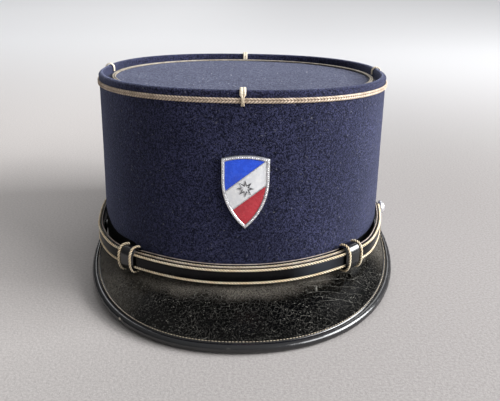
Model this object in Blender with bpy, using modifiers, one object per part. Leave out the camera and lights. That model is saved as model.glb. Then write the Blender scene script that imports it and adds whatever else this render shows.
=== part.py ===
"""Kepi cap: a stiff oval cloth crown with a sunken flat top, a bound leather visor,
a two-layer false chin strap with slide loops between side buttons, and a shield badge.

World frame: +Z up, the front of the cap faces -Y, the origin lies on the surface
that the cap stands on, under the middle of its bounding box. The cap rests as it
would by itself: on the visor's bound edge in front and on the crown's back edge, so
the crown leans back a little. Crown, strap and badge are modelled in the crown's own
frame, whose origin is the centre of the rim's top plane, and hang on one empty.
"""
import math

import bmesh
import bpy
from mathutils import Euler, Matrix, Vector

MM = 0.001
DEG = math.pi / 180

# Crown, in its own frame: x to the right, y to the back, z up from the rim's top plane.
TOP_CENTRE = (1.5 * MM, 26.0 * MM, 111.5 * MM)  # of the rim's top plane, in the world
TILT_BACK = 3.2 * DEG
LEAN_RIGHT = 0.8 * DEG
HALF_WIDTH = 87.0 * MM
HALF_LENGTH = 103.0 * MM
OVAL_POWER = 2.3
FLARE = 0.0112  # growth of the half axes for each metre of height
BASE_DEPTH = 105.5 * MM  # rim top to the bottom edge, at the middle
BASE_SLOPE = 0.0049  # the bottom edge falls this much towards the back
WALL = 2.5 * MM
GAP = 0.3 * MM
AROUND = 64

# Rim: a padded cloth roll round the edge of the sunken top.
ROLL_RADIUS = 1.75 * MM
ROLL_STEPS = 4
LIP_DEPTH = 7.0 * MM
LIP_TAPER = 2.0 * MM
TOP_DEPTH = 4.5 * MM
TOP_THICKNESS = 2.0 * MM

# Braids and the four tabs that hold the rim.
SIDE_BRAID_DEPTH = 5.2 * MM
SIDE_BRAID_HEIGHT = 2.7 * MM
SIDE_BRAID_PROUD = 1.0 * MM
BRAID_RIDGE = 0.6  # share of the half height where each ridge of the side braid lies
BRAID_DIP = 0.55  # share of the ridges' height that is left between them
TOP_BRAID_HALF_WIDTH = 79.7 * MM  # the top braid lies on a rounder oval than the wall
TOP_BRAID_HALF_LENGTH = 92.0 * MM
TOP_BRAID_POWER = 2.05
TOP_BRAID_WIDTH = 2.4 * MM
TOP_BRAID_PROUD = 1.0 * MM
TOP_BRAID_CROWN = 0.55  # share of its width that its upper face keeps
TAB_WIDTH = 3.2 * MM
TAB_THICKNESS = 0.5 * MM
TAB_LEG = 1.8 * MM
TAB_CLEARANCE = 0.45 * MM
TAB_SHIFT = 0.8 * MM
TAB_BENDS = 6

# Visor: an oval outline, its height given along its bound edge, in the world.
VISOR_HALF_WIDTH = 87.0 * MM
VISOR_HALF_LENGTH = 108.0 * MM
VISOR_CENTRE = (1.1 * MM, -19.5 * MM)
VISOR_POWER = 2.12
VISOR_THICKNESS = 2.0 * MM
VISOR_TIP_TURN = 109.0 * DEG  # where the bound edge ends, round the visor's own oval
VISOR_SEAM_TURN = 69.0 * DEG  # where the leather ends on the crown
VISOR_CROWN_GAP = 0.9 * MM
LEATHER_SHARE = 0.85  # share of the bound edge that holds the leather
LEATHER_STOP = 1.2 * MM  # from the leather's edge to the middle of the bound edge
VISOR_BULGE = 1.3 * MM
VISOR_FULL_DEPTH = 45.0 * MM  # the bulge is whole where the visor is this deep
VISOR_ROWS = 44
VISOR_STEPS = 6
SEAM_RISE_FRONT = 2.5 * MM  # top of the leather at the crown, above the crown's edge
SEAM_RISE_TIP = 7.5 * MM
SEAM_RISE_POWER = 4.5
EDGE_REST = 2.2 * MM  # centre of the bound edge above the surface
EDGE_RISE = 8.5 * MM
EDGE_RISE_POWER = 1.6
EDGE_LIFT = 0.5 * MM  # the middle of the edge stays just clear of the surface
EDGE_LIFT_HALF_WIDTH = 28.0 * MM
BINDING_RADIUS = 2.4 * MM
BINDING_TIP_RADIUS = 1.7 * MM
BINDING_THIN_FROM = 0.82  # share of its half length where it begins to thin
BINDING_CROWN_GAP = 0.9 * MM
BINDING_LIP = 2.2 * MM
BINDING_LIP_EDGE = 2.0 * MM
BINDING_SLOT_FLOOR = 0.25  # share of the radius, inwards from the middle
BINDING_SLOPE_FROM = 0.85  # the leather's slope at the edge is taken from here outwards
BINDING_ROWS = 56
BINDING_ARC_STEPS = 6

# Strap: two leather layers with a gold cord along each edge.
STRAP_THICKNESS = 2.2 * MM
STRAP_HALF_HEIGHT = 4.1 * MM
STRAP_SHOULDER = 1.1 * MM  # the ledge under each cord, below the strap's face
STRAP_BEVEL = 0.2 * MM
CORD_RADIUS = 0.55 * MM
CORD_RISE = 3.5 * MM
CORD_BUTTON_GAP = 0.4 * MM
STRAP_ROWS = 40
STRAP_PAST_LOOP = 1.0 * MM
STRAP_TAIL = 4.2 * MM  # strap past the button's centre
END_ROUND_ROWS = 4
END_ROUND = 80.0 * DEG  # the tail's round end stops at a small blunt face
BUTTON_TURNS = {1: 84.5 * DEG, -1: 97.0 * DEG}  # the right one (1) sits further forward
# turn in degrees from the front; rise of the strap's middle above the crown's edge;
# gap between the crown and the strap's inner face, all in millimetres.
ROUTE_COLUMNS = ("turn", "rise", "gap")
RIGHT_STRAP_ROUTE = (
    (-47.0, 11.0, 6.3),
    (-30.0, 10.2, 4.7),
    (0.0, 8.2, 4.6),
    (30.0, 10.5, 4.7),
    (47.0, 12.9, 6.1),
    (60.0, 14.9, 3.5),
    (76.0, 16.9, 0.7),
    (96.0, 17.8, 0.5),
)
LEFT_STRAP_ROUTE = (
    (-96.0, 18.4, 0.5),
    (-76.0, 15.2, 2.0),
    (-63.0, 13.6, 4.2),
    (-53.0, 11.4, 4.7),
    (-46.0, 10.2, 4.1),
    (-42.0, 10.4, 2.9),
    (-30.0, 10.7, 1.8),
    (0.0, 8.8, 1.7),
    (30.0, 11.1, 1.8),
    (47.0, 13.4, 3.2),
)
LOOP_TURN = 38.3 * DEG
LOOP_HALF_WIDTH = 5.2 * MM
LOOP_THICKNESS = 1.2 * MM
LOOP_CLEARANCE = 0.45 * MM
LOOP_CORNER = 0.5 * MM
LOOP_CORNER_STEPS = 3
LOOP_CORD_INSET = 1.3 * MM

# Buttons: a ball-like cap on a neck, through a hole in the strap's end.
BUTTON_RADIUS = 4.6 * MM
BUTTON_DOME = 4.2 * MM
BUTTON_BAND = 0.9 * MM  # between the dome and the seat, narrowed to the seat
BUTTON_SEAT_INSET = 0.5 * MM
BUTTON_DOME_STEPS = 4
BUTTON_SIDES = 16
NECK_RADIUS = 1.3 * MM
NECK_HOLE_RADIUS = 1.7 * MM
CURVE_CLEARANCE = 0.2 * MM  # for the curve of the strap and the wall at the flat faces

# Badge: a shield with a raised rim round three enamel fields, and a star.
BADGE_HALF_WIDTH = 12.2 * MM
BADGE_HEIGHT = 37.0 * MM
BADGE_TOP_DEPTH = 34.4 * MM  # below the rim's top plane
BADGE_SHIFT = 2.6 * MM
BADGE_THICKNESS = 1.9 * MM
BADGE_SHOULDER = 11.0 * MM  # straight part of the sides
BADGE_TOP_ARCH = 1.6 * MM
BADGE_RIM = 1.5 * MM
BADGE_POCKET = 1.0 * MM
BADGE_STEPS = 7
BADGE_ARCH_STEPS = 6
BAND_HALF_WIDTH = 5.0 * MM
BAND_ANGLE = 38.0 * DEG
BAND_CENTRE = -15.5 * MM  # below the badge's top
ENAMEL_THICKNESS = 0.7 * MM
STAR_RADIUS = 4.4 * MM
STAR_INNER = 0.48  # share of the star's radius
STAR_POINTS = 8
STAR_THICKNESS = 0.9 * MM

for old in list(bpy.data.objects):
    bpy.data.objects.remove(old, do_unlink=True)

parts = bpy.data.collections.new("kepi_cap")
cutters = bpy.data.collections.new("kepi_cap_cutters")
bpy.context.scene.collection.children.link(parts)
bpy.context.scene.collection.children.link(cutters)

CROWN = Matrix.Translation(TOP_CENTRE) @ Euler((-TILT_BACK, LEAN_RIGHT, 0)).to_matrix().to_4x4()
crown_frame = bpy.data.objects.new("crown_frame", None)
parts.objects.link(crown_frame)
crown_frame.matrix_world = CROWN


def material(name, color, roughness, metallic=0.0):
    made = bpy.data.materials.new(name)
    made.use_nodes = True
    shader = made.node_tree.nodes["Principled BSDF"]
    shader.inputs["Base Color"].default_value = (*color, 1.0)
    shader.inputs["Roughness"].default_value = roughness
    shader.inputs["Metallic"].default_value = metallic
    return made


navy_wool = material("navy_wool", (0.018, 0.020, 0.048), 0.95)
gold_braid = material("gold_braid", (0.42, 0.29, 0.13), 0.55, 0.4)
visor_leather = material("visor_leather", (0.012, 0.012, 0.012), 0.5)
patent_leather = material("patent_leather", (0.006, 0.006, 0.008), 0.18)
silver = material("silver", (0.62, 0.62, 0.64), 0.3, 1.0)
blue_enamel = material("blue_enamel", (0.03, 0.10, 0.45), 0.15)
white_enamel = material("white_enamel", (0.75, 0.76, 0.78), 0.2)
red_enamel = material("red_enamel", (0.50, 0.02, 0.03), 0.15)


def add_mesh(name, bm, finish, frame=None, sharp=35.0):
    """Put a finished bmesh in the parts collection as one named object."""
    mesh = bpy.data.meshes.new(name)
    bm.to_mesh(mesh)
    bm.free()
    mesh.shade_smooth()
    mesh.set_sharp_from_angle(angle=sharp * DEG)
    mesh.materials.append(finish)
    made = bpy.data.objects.new(name, mesh)
    parts.objects.link(made)
    if frame is not None:
        made.parent = frame
    return made


def skin(loops, closed):
    """Join like loops of points into one closed body, as a ring or with two end faces."""
    bm = bmesh.new()
    rows = [[bm.verts.new(point) for point in loop] for loop in loops]
    follow = rows[1:] + rows[:1] if closed else rows[1:]
    for row, after in zip(rows, follow):
        for i in range(len(row)):
            j = (i + 1) % len(row)
            bm.faces.new((row[i], row[j], after[j], after[i]))
    if not closed:
        bm.faces.new(rows[0])
        bm.faces.new(rows[-1])
    bmesh.ops.recalc_face_normals(bm, faces=bm.faces)
    return bm


def add_tube(name, points, radius, finish, frame):
    """A round cord: a curve with a bevel and filled ends, turned into a mesh."""
    curve = bpy.data.curves.new(name, "CURVE")
    curve.dimensions = "3D"
    spline = curve.splines.new("POLY")
    spline.points.add(len(points) - 1)
    for place, point in zip(spline.points, points):
        place.co = (*point, 1.0)
    curve.bevel_depth = radius
    curve.bevel_resolution = 1
    curve.use_fill_caps = True
    curve.materials.append(finish)
    made = bpy.data.objects.new(name, curve)
    parts.objects.link(made)
    made.parent = frame


def add_flat(name, outline, thickness, finish, collection=parts):
    """A flat plate: a filled 2D curve, thickness to both sides of its own z = 0."""
    curve = bpy.data.curves.new(name, "CURVE")
    curve.dimensions = "2D"
    curve.fill_mode = "BOTH"
    spline = curve.splines.new("POLY")
    spline.points.add(len(outline) - 1)
    for place, (x, y) in zip(spline.points, outline):
        place.co = (x, y, 0.0, 1.0)
    spline.use_cyclic_u = True
    curve.extrude = thickness / 2
    flat = bpy.data.objects.new(name + "_outline", curve)
    collection.objects.link(flat)
    filled = flat.evaluated_get(bpy.context.evaluated_depsgraph_get())
    mesh = bpy.data.meshes.new_from_object(filled)
    bpy.data.objects.remove(flat, do_unlink=True)
    bm = bmesh.new()
    bm.from_mesh(mesh)
    bmesh.ops.remove_doubles(bm, verts=bm.verts, dist=1e-6)
    bmesh.ops.recalc_face_normals(bm, faces=bm.faces)
    bm.to_mesh(mesh)
    bm.free()
    mesh.name = name
    mesh.materials.clear()
    mesh.materials.append(finish)
    made = bpy.data.objects.new(name, mesh)
    collection.objects.link(made)
    return made


def subtract(target, cutter):
    cut = target.modifiers.new("cut_" + cutter.name, "BOOLEAN")
    cut.operation = "DIFFERENCE"
    cut.solver = "EXACT"
    cut.object = cutter
    cutter.hide_render = True
    cutter.display_type = "WIRE"


def oval(turn, half_width, half_length, power):
    """Point and outward normal of an oval; turn runs from its front towards +x."""
    across, along = math.sin(turn), -math.cos(turn)
    x = half_width * math.copysign(abs(across) ** (2 / power), across)
    y = half_length * math.copysign(abs(along) ** (2 / power), along)
    steep_x = math.copysign(abs(x / half_width) ** (power - 1) / half_width, x)
    steep_y = math.copysign(abs(y / half_length) ** (power - 1) / half_length, y)
    return Vector((x, y, 0)), Vector((steep_x, steep_y, 0)).normalized()


def on_crown(turn, out, z):
    """A point out from the crown's wall, at height z of the crown's frame."""
    grown = FLARE * z
    point, normal = oval(turn, HALF_WIDTH + grown, HALF_LENGTH + grown, OVAL_POWER)
    point += out * normal
    point.z = z
    return point


def base_z(x, y):
    """Height of the plane of the crown's bottom edge, level from left to right."""
    return -BASE_DEPTH - BASE_SLOPE * y + math.tan(LEAN_RIGHT) * x


def above_base(turn, out, rise):
    """A point out from the crown's wall, at a rise above its bottom edge."""
    point = on_crown(turn, out, -BASE_DEPTH + rise)
    point.z = base_z(point.x, point.y) + rise
    return point


def ring_turns(count):
    return [2 * math.pi * i / count for i in range(count)]


def smooth_row(table, turn):
    """Values of a route table at a turn, on a smooth curve through its rows."""
    last = len(table) - 1
    place = 0
    while place < last - 1 and turn > table[place + 1][0]:
        place += 1
    low, high = table[place], table[place + 1]
    before, after = table[max(place - 1, 0)], table[min(place + 2, last)]
    span = high[0] - low[0]
    share = min(max((turn - low[0]) / span, 0.0), 1.0)
    values = []
    for column in range(1, len(ROUTE_COLUMNS)):
        slope_low = (high[column] - before[column]) / (high[0] - before[0]) * span
        slope_high = (after[column] - low[column]) / (after[0] - low[0]) * span
        square, cube = share**2, share**3
        values.append(
            (2 * cube - 3 * square + 1) * low[column]
            + (cube - 2 * square + share) * slope_low
            + (3 * square - 2 * cube) * high[column]
            + (cube - square) * slope_high
        )
    return values


# ---------------------------------------------------------------- crown


def build_crown_side():
    """The wall with the roll round its top; its section is carried round the oval."""
    roll = [
        (-ROLL_RADIUS + ROLL_RADIUS * math.cos(a), -ROLL_RADIUS + ROLL_RADIUS * math.sin(a))
        for a in [math.pi * i / ROLL_STEPS for i in range(ROLL_STEPS + 1)]
    ]
    upper = [(0.0, -SIDE_BRAID_DEPTH - SIDE_BRAID_HEIGHT)]
    upper += roll
    upper += [(-2 * ROLL_RADIUS, -LIP_DEPTH), (-WALL, -LIP_DEPTH - LIP_TAPER)]
    loops = []
    for turn in ring_turns(AROUND):
        loop = [above_base(turn, 0.0, 0.0)]
        loop += [on_crown(turn, out, z) for out, z in upper]
        loop.append(above_base(turn, -WALL, 0.0))
        loops.append(loop)
    add_mesh("crown_side", skin(loops, closed=True), navy_wool, crown_frame)


def build_crown_top():
    """The sunken flat top, a plate inside the rolled rim."""
    inset = 2 * ROLL_RADIUS + GAP
    outline = [on_crown(turn, -inset, -TOP_DEPTH) for turn in ring_turns(AROUND)]
    plate = add_flat("crown_top", [(p.x, p.y) for p in outline], TOP_THICKNESS, navy_wool)
    plate.location.z = -TOP_DEPTH - TOP_THICKNESS / 2
    plate.parent = crown_frame


def build_braids():
    """A two-ridged braid round the side, and a thin flat braid on the top."""
    half = SIDE_BRAID_HEIGHT / 2
    side = (
        (GAP, -half),
        (GAP + SIDE_BRAID_PROUD, -BRAID_RIDGE * half),
        (GAP + BRAID_DIP * SIDE_BRAID_PROUD, 0.0),
        (GAP + SIDE_BRAID_PROUD, BRAID_RIDGE * half),
        (GAP, half),
    )
    loops = [
        [on_crown(turn, out, rise - SIDE_BRAID_DEPTH) for out, rise in side]
        for turn in ring_turns(AROUND)
    ]
    add_mesh("side_braid", skin(loops, closed=True), gold_braid, crown_frame)

    half = TOP_BRAID_WIDTH / 2
    crest = TOP_BRAID_CROWN * half
    flat = ((-half, 0.0), (half, 0.0), (crest, TOP_BRAID_PROUD), (-crest, TOP_BRAID_PROUD))
    loops = []
    for turn in ring_turns(AROUND):
        middle, outward = oval(turn, TOP_BRAID_HALF_WIDTH, TOP_BRAID_HALF_LENGTH, TOP_BRAID_POWER)
        loops.append(
            [middle + outward * out + Vector((0, 0, rise + GAP - TOP_DEPTH)) for out, rise in flat]
        )
    add_mesh("top_braid", skin(loops, closed=True), gold_braid, crown_frame)


def build_rim_tabs():
    """Four flat gold strips bent over the roll: front, back, left and right."""
    inner = ROLL_RADIUS + TAB_CLEARANCE
    outer = inner + TAB_THICKNESS
    bends = [math.pi * i / TAB_BENDS for i in range(TAB_BENDS + 1)]
    outline = [(outer, -TAB_LEG)] + [(outer * math.cos(a), outer * math.sin(a)) for a in bends]
    outline += [(-outer, -TAB_LEG), (-inner, -TAB_LEG)]
    outline += [(inner * math.cos(a), inner * math.sin(a)) for a in reversed(bends)]
    outline += [(inner, -TAB_LEG)]
    stand = Matrix.Rotation(90 * DEG, 4, "X")
    for name, turn, shift in (
        ("rim_tab_front", 0.0, TAB_SHIFT),
        ("rim_tab_right", 92.5 * DEG, 0.0),
        ("rim_tab_back", 180.0 * DEG, -TAB_SHIFT),
        ("rim_tab_left", 267.5 * DEG, 0.0),
    ):
        tab = add_flat(name, outline, TAB_WIDTH, gold_braid)
        spot = on_crown(turn, -ROLL_RADIUS, -ROLL_RADIUS)
        outward = (on_crown(turn, 1.0, 0.0) - on_crown(turn, 0.0, 0.0)).normalized()
        heading = Matrix.Rotation(math.atan2(outward.y, outward.x), 4, "Z")
        sideways = Vector((-outward.y, outward.x, 0)) * shift
        tab.parent = crown_frame
        tab.matrix_basis = Matrix.Translation(spot + sideways) @ heading @ stand


# ---------------------------------------------------------------- visor


def edge_height(x, y):
    """Height of the middle of the bound edge above the surface."""
    front = VISOR_CENTRE[1] - VISOR_HALF_LENGTH
    share = (y - front) / VISOR_HALF_LENGTH
    lift = EDGE_LIFT * math.exp(-((x - VISOR_CENTRE[0]) ** 2) / EDGE_LIFT_HALF_WIDTH**2)
    return EDGE_REST + lift + EDGE_RISE * max(share, 0.0) ** EDGE_RISE_POWER


def binding_radius(share):
    """The bound edge thins towards both of its ends; share runs from -1 to 1."""
    thin = max(abs(share) - BINDING_THIN_FROM, 0.0) / (1 - BINDING_THIN_FROM)
    return BINDING_RADIUS + (BINDING_TIP_RADIUS - BINDING_RADIUS) * thin


def visor_edge(share):
    """The middle of the bound edge, kept clear of the crown's wall near its ends."""
    flat, _ = oval(VISOR_TIP_TURN * share, VISOR_HALF_WIDTH, VISOR_HALF_LENGTH, VISOR_POWER)
    point = Vector((flat.x + VISOR_CENTRE[0], flat.y + VISOR_CENTRE[1], 0))
    point.z = edge_height(point.x, point.y)
    local = CROWN.inverted() @ point
    grown = FLARE * local.z
    level = abs(local.x / (HALF_WIDTH + grown)) ** OVAL_POWER
    level += abs(local.y / (HALF_LENGTH + grown)) ** OVAL_POWER
    plan = math.hypot(local.x, local.y)
    clear = plan * (1 - level ** (-1 / OVAL_POWER))
    needed = binding_radius(share) + BINDING_CROWN_GAP
    push = max(needed - clear, 0.0) / plan
    return CROWN @ Vector((local.x * (1 + push), local.y * (1 + push), local.z))


def visor_seam(share):
    """The middle of the leather's inner edge, along the crown's wall."""
    rise = SEAM_RISE_FRONT + (SEAM_RISE_TIP - SEAM_RISE_FRONT) * abs(share) ** SEAM_RISE_POWER
    turn = VISOR_SEAM_TURN * share
    return CROWN @ above_base(turn, VISOR_CROWN_GAP, rise - VISOR_THICKNESS / 2)


def visor_point(share, across):
    """A point of the leather's middle surface: across runs from the seam to the edge."""
    seam, edge = visor_seam(share), visor_edge(share * LEATHER_SHARE)
    point = seam.lerp(edge, across)
    reach = min((edge - seam).length / VISOR_FULL_DEPTH, 1.0)
    point.z += VISOR_BULGE * reach * 4 * across * (1 - across)
    return point


def build_visor():
    """The leather, a grid laid on its middle surface and given its thickness."""
    bm = bmesh.new()
    bmesh.ops.create_grid(bm, x_segments=VISOR_ROWS, y_segments=VISOR_STEPS, size=1.0)
    for vert in bm.verts:
        share, across = vert.co.x, (vert.co.y + 1) / 2
        depth = (visor_point(share, 1.0) - visor_point(share, 0.0)).length
        vert.co = visor_point(share, across * (1 - LEATHER_STOP / depth))
    visor = add_mesh("visor", bm, visor_leather)
    shell = visor.modifiers.new("leather", "SOLIDIFY")
    shell.thickness = VISOR_THICKNESS
    shell.offset = 0.0
    shell.use_even_offset = True


def build_binding():
    """The patent strip folded round the visor's edge, with a slot for the leather."""
    slot = VISOR_THICKNESS / 2 + GAP
    arc = [100 * DEG - 200 * DEG * i / BINDING_ARC_STEPS for i in range(BINDING_ARC_STEPS + 1)]
    loops = []
    for row in range(BINDING_ROWS + 1):
        share = -1 + 2 * row / BINDING_ROWS
        here = visor_edge(share)
        ahead = visor_edge(min(share + 0.01, 1.0)) - visor_edge(max(share - 0.01, -1.0))
        ahead.normalize()
        leather = max(min(share / LEATHER_SHARE, 1.0), -1.0)
        outward = visor_point(leather, 1.0) - visor_point(leather, BINDING_SLOPE_FROM)
        outward -= outward.dot(ahead) * ahead
        outward.normalize()
        up = outward.cross(ahead)
        if up.z < 0:
            up = -up
        radius = binding_radius(share)
        lip = BINDING_LIP * radius / BINDING_RADIUS
        lip_edge = min(BINDING_LIP_EDGE, radius)
        floor = BINDING_SLOT_FLOOR * radius
        section = [(radius * math.cos(a), radius * math.sin(a)) for a in arc]
        section += [(-lip, -lip_edge), (-lip, -slot), (-floor, -slot)]
        section += [(-floor, slot), (-lip, slot), (-lip, lip_edge)]
        loops.append([here + out * outward + rise * up for out, rise in section])
    add_mesh("visor_binding", skin(loops, closed=False), patent_leather)


# ---------------------------------------------------------------- strap


def strap_place(route, turn, out, rise):
    """A point of a strap: out from its inner face, rise from its middle line."""
    middle, gap = smooth_row(route, turn / DEG)
    return above_base(turn, gap * MM + out, middle * MM + rise)


def arc_length(turn):
    """Length along the wall for each radian of turn."""
    step = 0.5 * DEG
    before, after = (on_crown(turn + s, 0.0, -BASE_DEPTH) for s in (-step, step))
    return (after - before).length / (2 * step)


def build_strap(side, route):
    """One leather layer from its button to just past the loop on the other side."""
    far = -(LOOP_TURN + (LOOP_HALF_WIDTH + STRAP_PAST_LOOP) / arc_length(LOOP_TURN))
    button = BUTTON_TURNS[side]
    tail = STRAP_TAIL / arc_length(button)
    turns = [far + (button - far) * i / STRAP_ROWS for i in range(STRAP_ROWS + 1)]
    half_heights = [STRAP_HALF_HEIGHT] * len(turns)
    for i in range(1, END_ROUND_ROWS + 1):
        angle = END_ROUND * i / END_ROUND_ROWS
        turns.append(button + tail * math.sin(angle))
        half_heights.append(STRAP_HALF_HEIGHT * math.cos(angle))
    ledge = STRAP_THICKNESS - STRAP_SHOULDER
    loops = []
    for turn, half in zip(turns, half_heights):
        face = min(CORD_RISE - CORD_RADIUS - GAP, half - STRAP_SHOULDER)
        face = max(face, half / 3)
        foot = min(face + STRAP_BEVEL, (face + half) / 2)
        section = (
            (0.0, -half),
            (ledge, -half),
            (ledge, -foot),
            (STRAP_THICKNESS, -face),
            (STRAP_THICKNESS, face),
            (ledge, foot),
            (ledge, half),
            (0.0, half),
        )
        loops.append([strap_place(route, side * turn, out, rise) for out, rise in section])
    name = "strap_right" if side > 0 else "strap_left"
    strap = add_mesh(name, skin(loops, closed=False), patent_leather, crown_frame)

    cord_out = ledge + GAP + CORD_RADIUS
    cord_end = button - (BUTTON_RADIUS + CORD_BUTTON_GAP) / arc_length(button)
    cord_turns = [far + (cord_end - far) * i / STRAP_ROWS for i in range(STRAP_ROWS + 1)]
    for edge, sign in (("top", 1), ("bottom", -1)):
        rise = sign * CORD_RISE
        points = [strap_place(route, side * turn, cord_out, rise) for turn in cord_turns]
        add_tube(f"{name}_cord_{edge}", points, CORD_RADIUS, gold_braid, crown_frame)
    return strap


def loop_frame(turn):
    """Back, front, bottom and top of the space that a loop leaves for both layers."""
    front_rise, front_gap = smooth_row(RIGHT_STRAP_ROUTE, turn / DEG)
    back_rise, back_gap = smooth_row(LEFT_STRAP_ROUTE, turn / DEG)
    cord_face = STRAP_THICKNESS - STRAP_SHOULDER + GAP + 2 * CORD_RADIUS
    back = back_gap * MM - LOOP_CLEARANCE
    front = front_gap * MM + cord_face + LOOP_CLEARANCE
    bottom = min(front_rise, back_rise) * MM - STRAP_HALF_HEIGHT - LOOP_CLEARANCE
    top = max(front_rise, back_rise) * MM + STRAP_HALF_HEIGHT + LOOP_CLEARANCE
    return back, front, bottom, top


def loop_place(turn, step, grow):
    """Step round a loop's rounded section, from its front top corner, grown by grow."""
    back, front, bottom, top = loop_frame(turn)
    corner, part = divmod(step, LOOP_CORNER_STEPS)
    angle = (corner + part / (LOOP_CORNER_STEPS - 1)) * 90 * DEG
    out = back + LOOP_CORNER if corner in (1, 2) else front - LOOP_CORNER
    rise = top - LOOP_CORNER if corner in (0, 1) else bottom + LOOP_CORNER
    reach = LOOP_CORNER + grow
    return above_base(turn, out + reach * math.cos(angle), rise + reach * math.sin(angle))


def build_loop(side):
    """A leather keeper round both layers, with a gold cord along each of its edges."""
    name = "loop_right" if side > 0 else "loop_left"
    half_turn = LOOP_HALF_WIDTH / arc_length(LOOP_TURN)
    first, last = side * LOOP_TURN - half_turn, side * LOOP_TURN + half_turn
    steps = 4 * LOOP_CORNER_STEPS
    section = ((first, 0.0), (last, 0.0), (last, LOOP_THICKNESS), (first, LOOP_THICKNESS))
    loops = [[loop_place(turn, step, grow) for turn, grow in section] for step in range(steps)]
    add_mesh(name, skin(loops, closed=True), patent_leather, crown_frame)

    inset = LOOP_CORD_INSET / arc_length(LOOP_TURN)
    grow = LOOP_THICKNESS + GAP + CORD_RADIUS
    over_front = list(range(LOOP_CORNER_STEPS, -1, -1))
    over_front += list(range(steps - 1, steps - LOOP_CORNER_STEPS - 2, -1))
    for edge, turn in (("first", first + inset), ("second", last - inset)):
        points = [loop_place(turn, step, grow) for step in over_front]
        add_tube(f"{name}_cord_{edge}", points, CORD_RADIUS, gold_braid, crown_frame)


def build_button(side, strap, route):
    """A domed button turned about its own axis; its neck goes through the strap."""
    name = "button_right" if side > 0 else "button_left"
    turn = side * BUTTON_TURNS[side]
    middle, gap = (value * MM for value in smooth_row(route, turn / DEG))
    seat = gap + STRAP_THICKNESS + GAP + CURVE_CLEARANCE
    foot = GAP + CURVE_CLEARANCE
    profile = [(0.0, seat + BUTTON_DOME)]
    for i in range(1, BUTTON_DOME_STEPS + 1):
        angle = 90 * DEG * i / BUTTON_DOME_STEPS
        rise = BUTTON_BAND + (BUTTON_DOME - BUTTON_BAND) * math.cos(angle)
        profile.append((BUTTON_RADIUS * math.sin(angle), seat + rise))
    profile += [(BUTTON_RADIUS - BUTTON_SEAT_INSET, seat), (NECK_RADIUS, seat)]
    profile += [(NECK_RADIUS, foot), (0.0, foot)]
    line = bpy.data.meshes.new(name)
    line.from_pydata(
        [(radius, 0.0, height) for radius, height in profile],
        [(i, i + 1) for i in range(len(profile) - 1)],
        [],
    )
    line.materials.append(silver)
    button = bpy.data.objects.new(name, line)
    parts.objects.link(button)
    turned = button.modifiers.new("turned", "SCREW")
    turned.steps = BUTTON_SIDES
    turned.render_steps = BUTTON_SIDES
    turned.use_merge_vertices = True
    turned.merge_threshold = 0.00001

    spot = above_base(turn, 0.0, middle)
    outward = above_base(turn, 1.0, middle) - spot
    outward.z = 0.0
    place = Matrix.Translation(spot) @ outward.to_track_quat("Z", "Y").to_matrix().to_4x4()
    button.parent = crown_frame
    button.matrix_basis = place

    bm = bmesh.new()
    bmesh.ops.create_cone(
        bm,
        cap_ends=True,
        segments=BUTTON_SIDES,
        radius1=NECK_HOLE_RADIUS,
        radius2=NECK_HOLE_RADIUS,
        depth=4 * STRAP_THICKNESS,
    )
    mesh = bpy.data.meshes.new("neck_hole_" + name)
    bm.to_mesh(mesh)
    bm.free()
    hole = bpy.data.objects.new("neck_hole_" + name, mesh)
    cutters.objects.link(hole)
    hole.parent = crown_frame
    hole.matrix_basis = place @ Matrix.Translation((0, 0, seat - STRAP_THICKNESS / 2))
    subtract(strap, hole)


# ---------------------------------------------------------------- badge


def shield(inset):
    """Outline of the shield, inset from its own edge; y runs down from the top."""
    half = BADGE_HALF_WIDTH - inset
    top, shoulder = -inset, -BADGE_SHOULDER
    side_drop = BADGE_HEIGHT - BADGE_SHOULDER
    reach = (side_drop**2 - BADGE_HALF_WIDTH**2) / (2 * BADGE_HALF_WIDTH)
    radius = reach + BADGE_HALF_WIDTH - inset
    last = math.acos(reach / radius)
    right = [(half, top)]
    for i in range(BADGE_STEPS + 1):
        angle = last * i / BADGE_STEPS
        right.append((radius * math.cos(angle) - reach, shoulder - radius * math.sin(angle)))
    right[-1] = (0.0, right[-1][1])
    left = [(-x, y) for x, y in reversed(right[:-1])]
    shares = [-1 + 2 * i / BADGE_ARCH_STEPS for i in range(1, BADGE_ARCH_STEPS)]
    arch = [(half * share, top + BADGE_TOP_ARCH * (1 - share**2)) for share in shares]
    return right + left + arch


def field(name, planes, finish, place):
    """One enamel field: the inset shield cut down to what lies behind each plane."""
    plate = add_flat(name, shield(BADGE_RIM + GAP), ENAMEL_THICKNESS, finish)
    bm = bmesh.new()
    bm.from_mesh(plate.data)
    for spot, normal in planes:
        everything = bm.verts[:] + bm.edges[:] + bm.faces[:]
        cut = bmesh.ops.bisect_plane(
            bm, geom=everything, plane_co=spot, plane_no=normal, clear_outer=True
        )
        rim = [e for e in cut["geom_cut"] if isinstance(e, bmesh.types.BMEdge)]
        bmesh.ops.holes_fill(bm, edges=rim, sides=0)
    bmesh.ops.recalc_face_normals(bm, faces=bm.faces)
    bm.to_mesh(plate.data)
    bm.free()
    plate.parent = crown_frame
    plate.matrix_basis = place
    return plate


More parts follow.
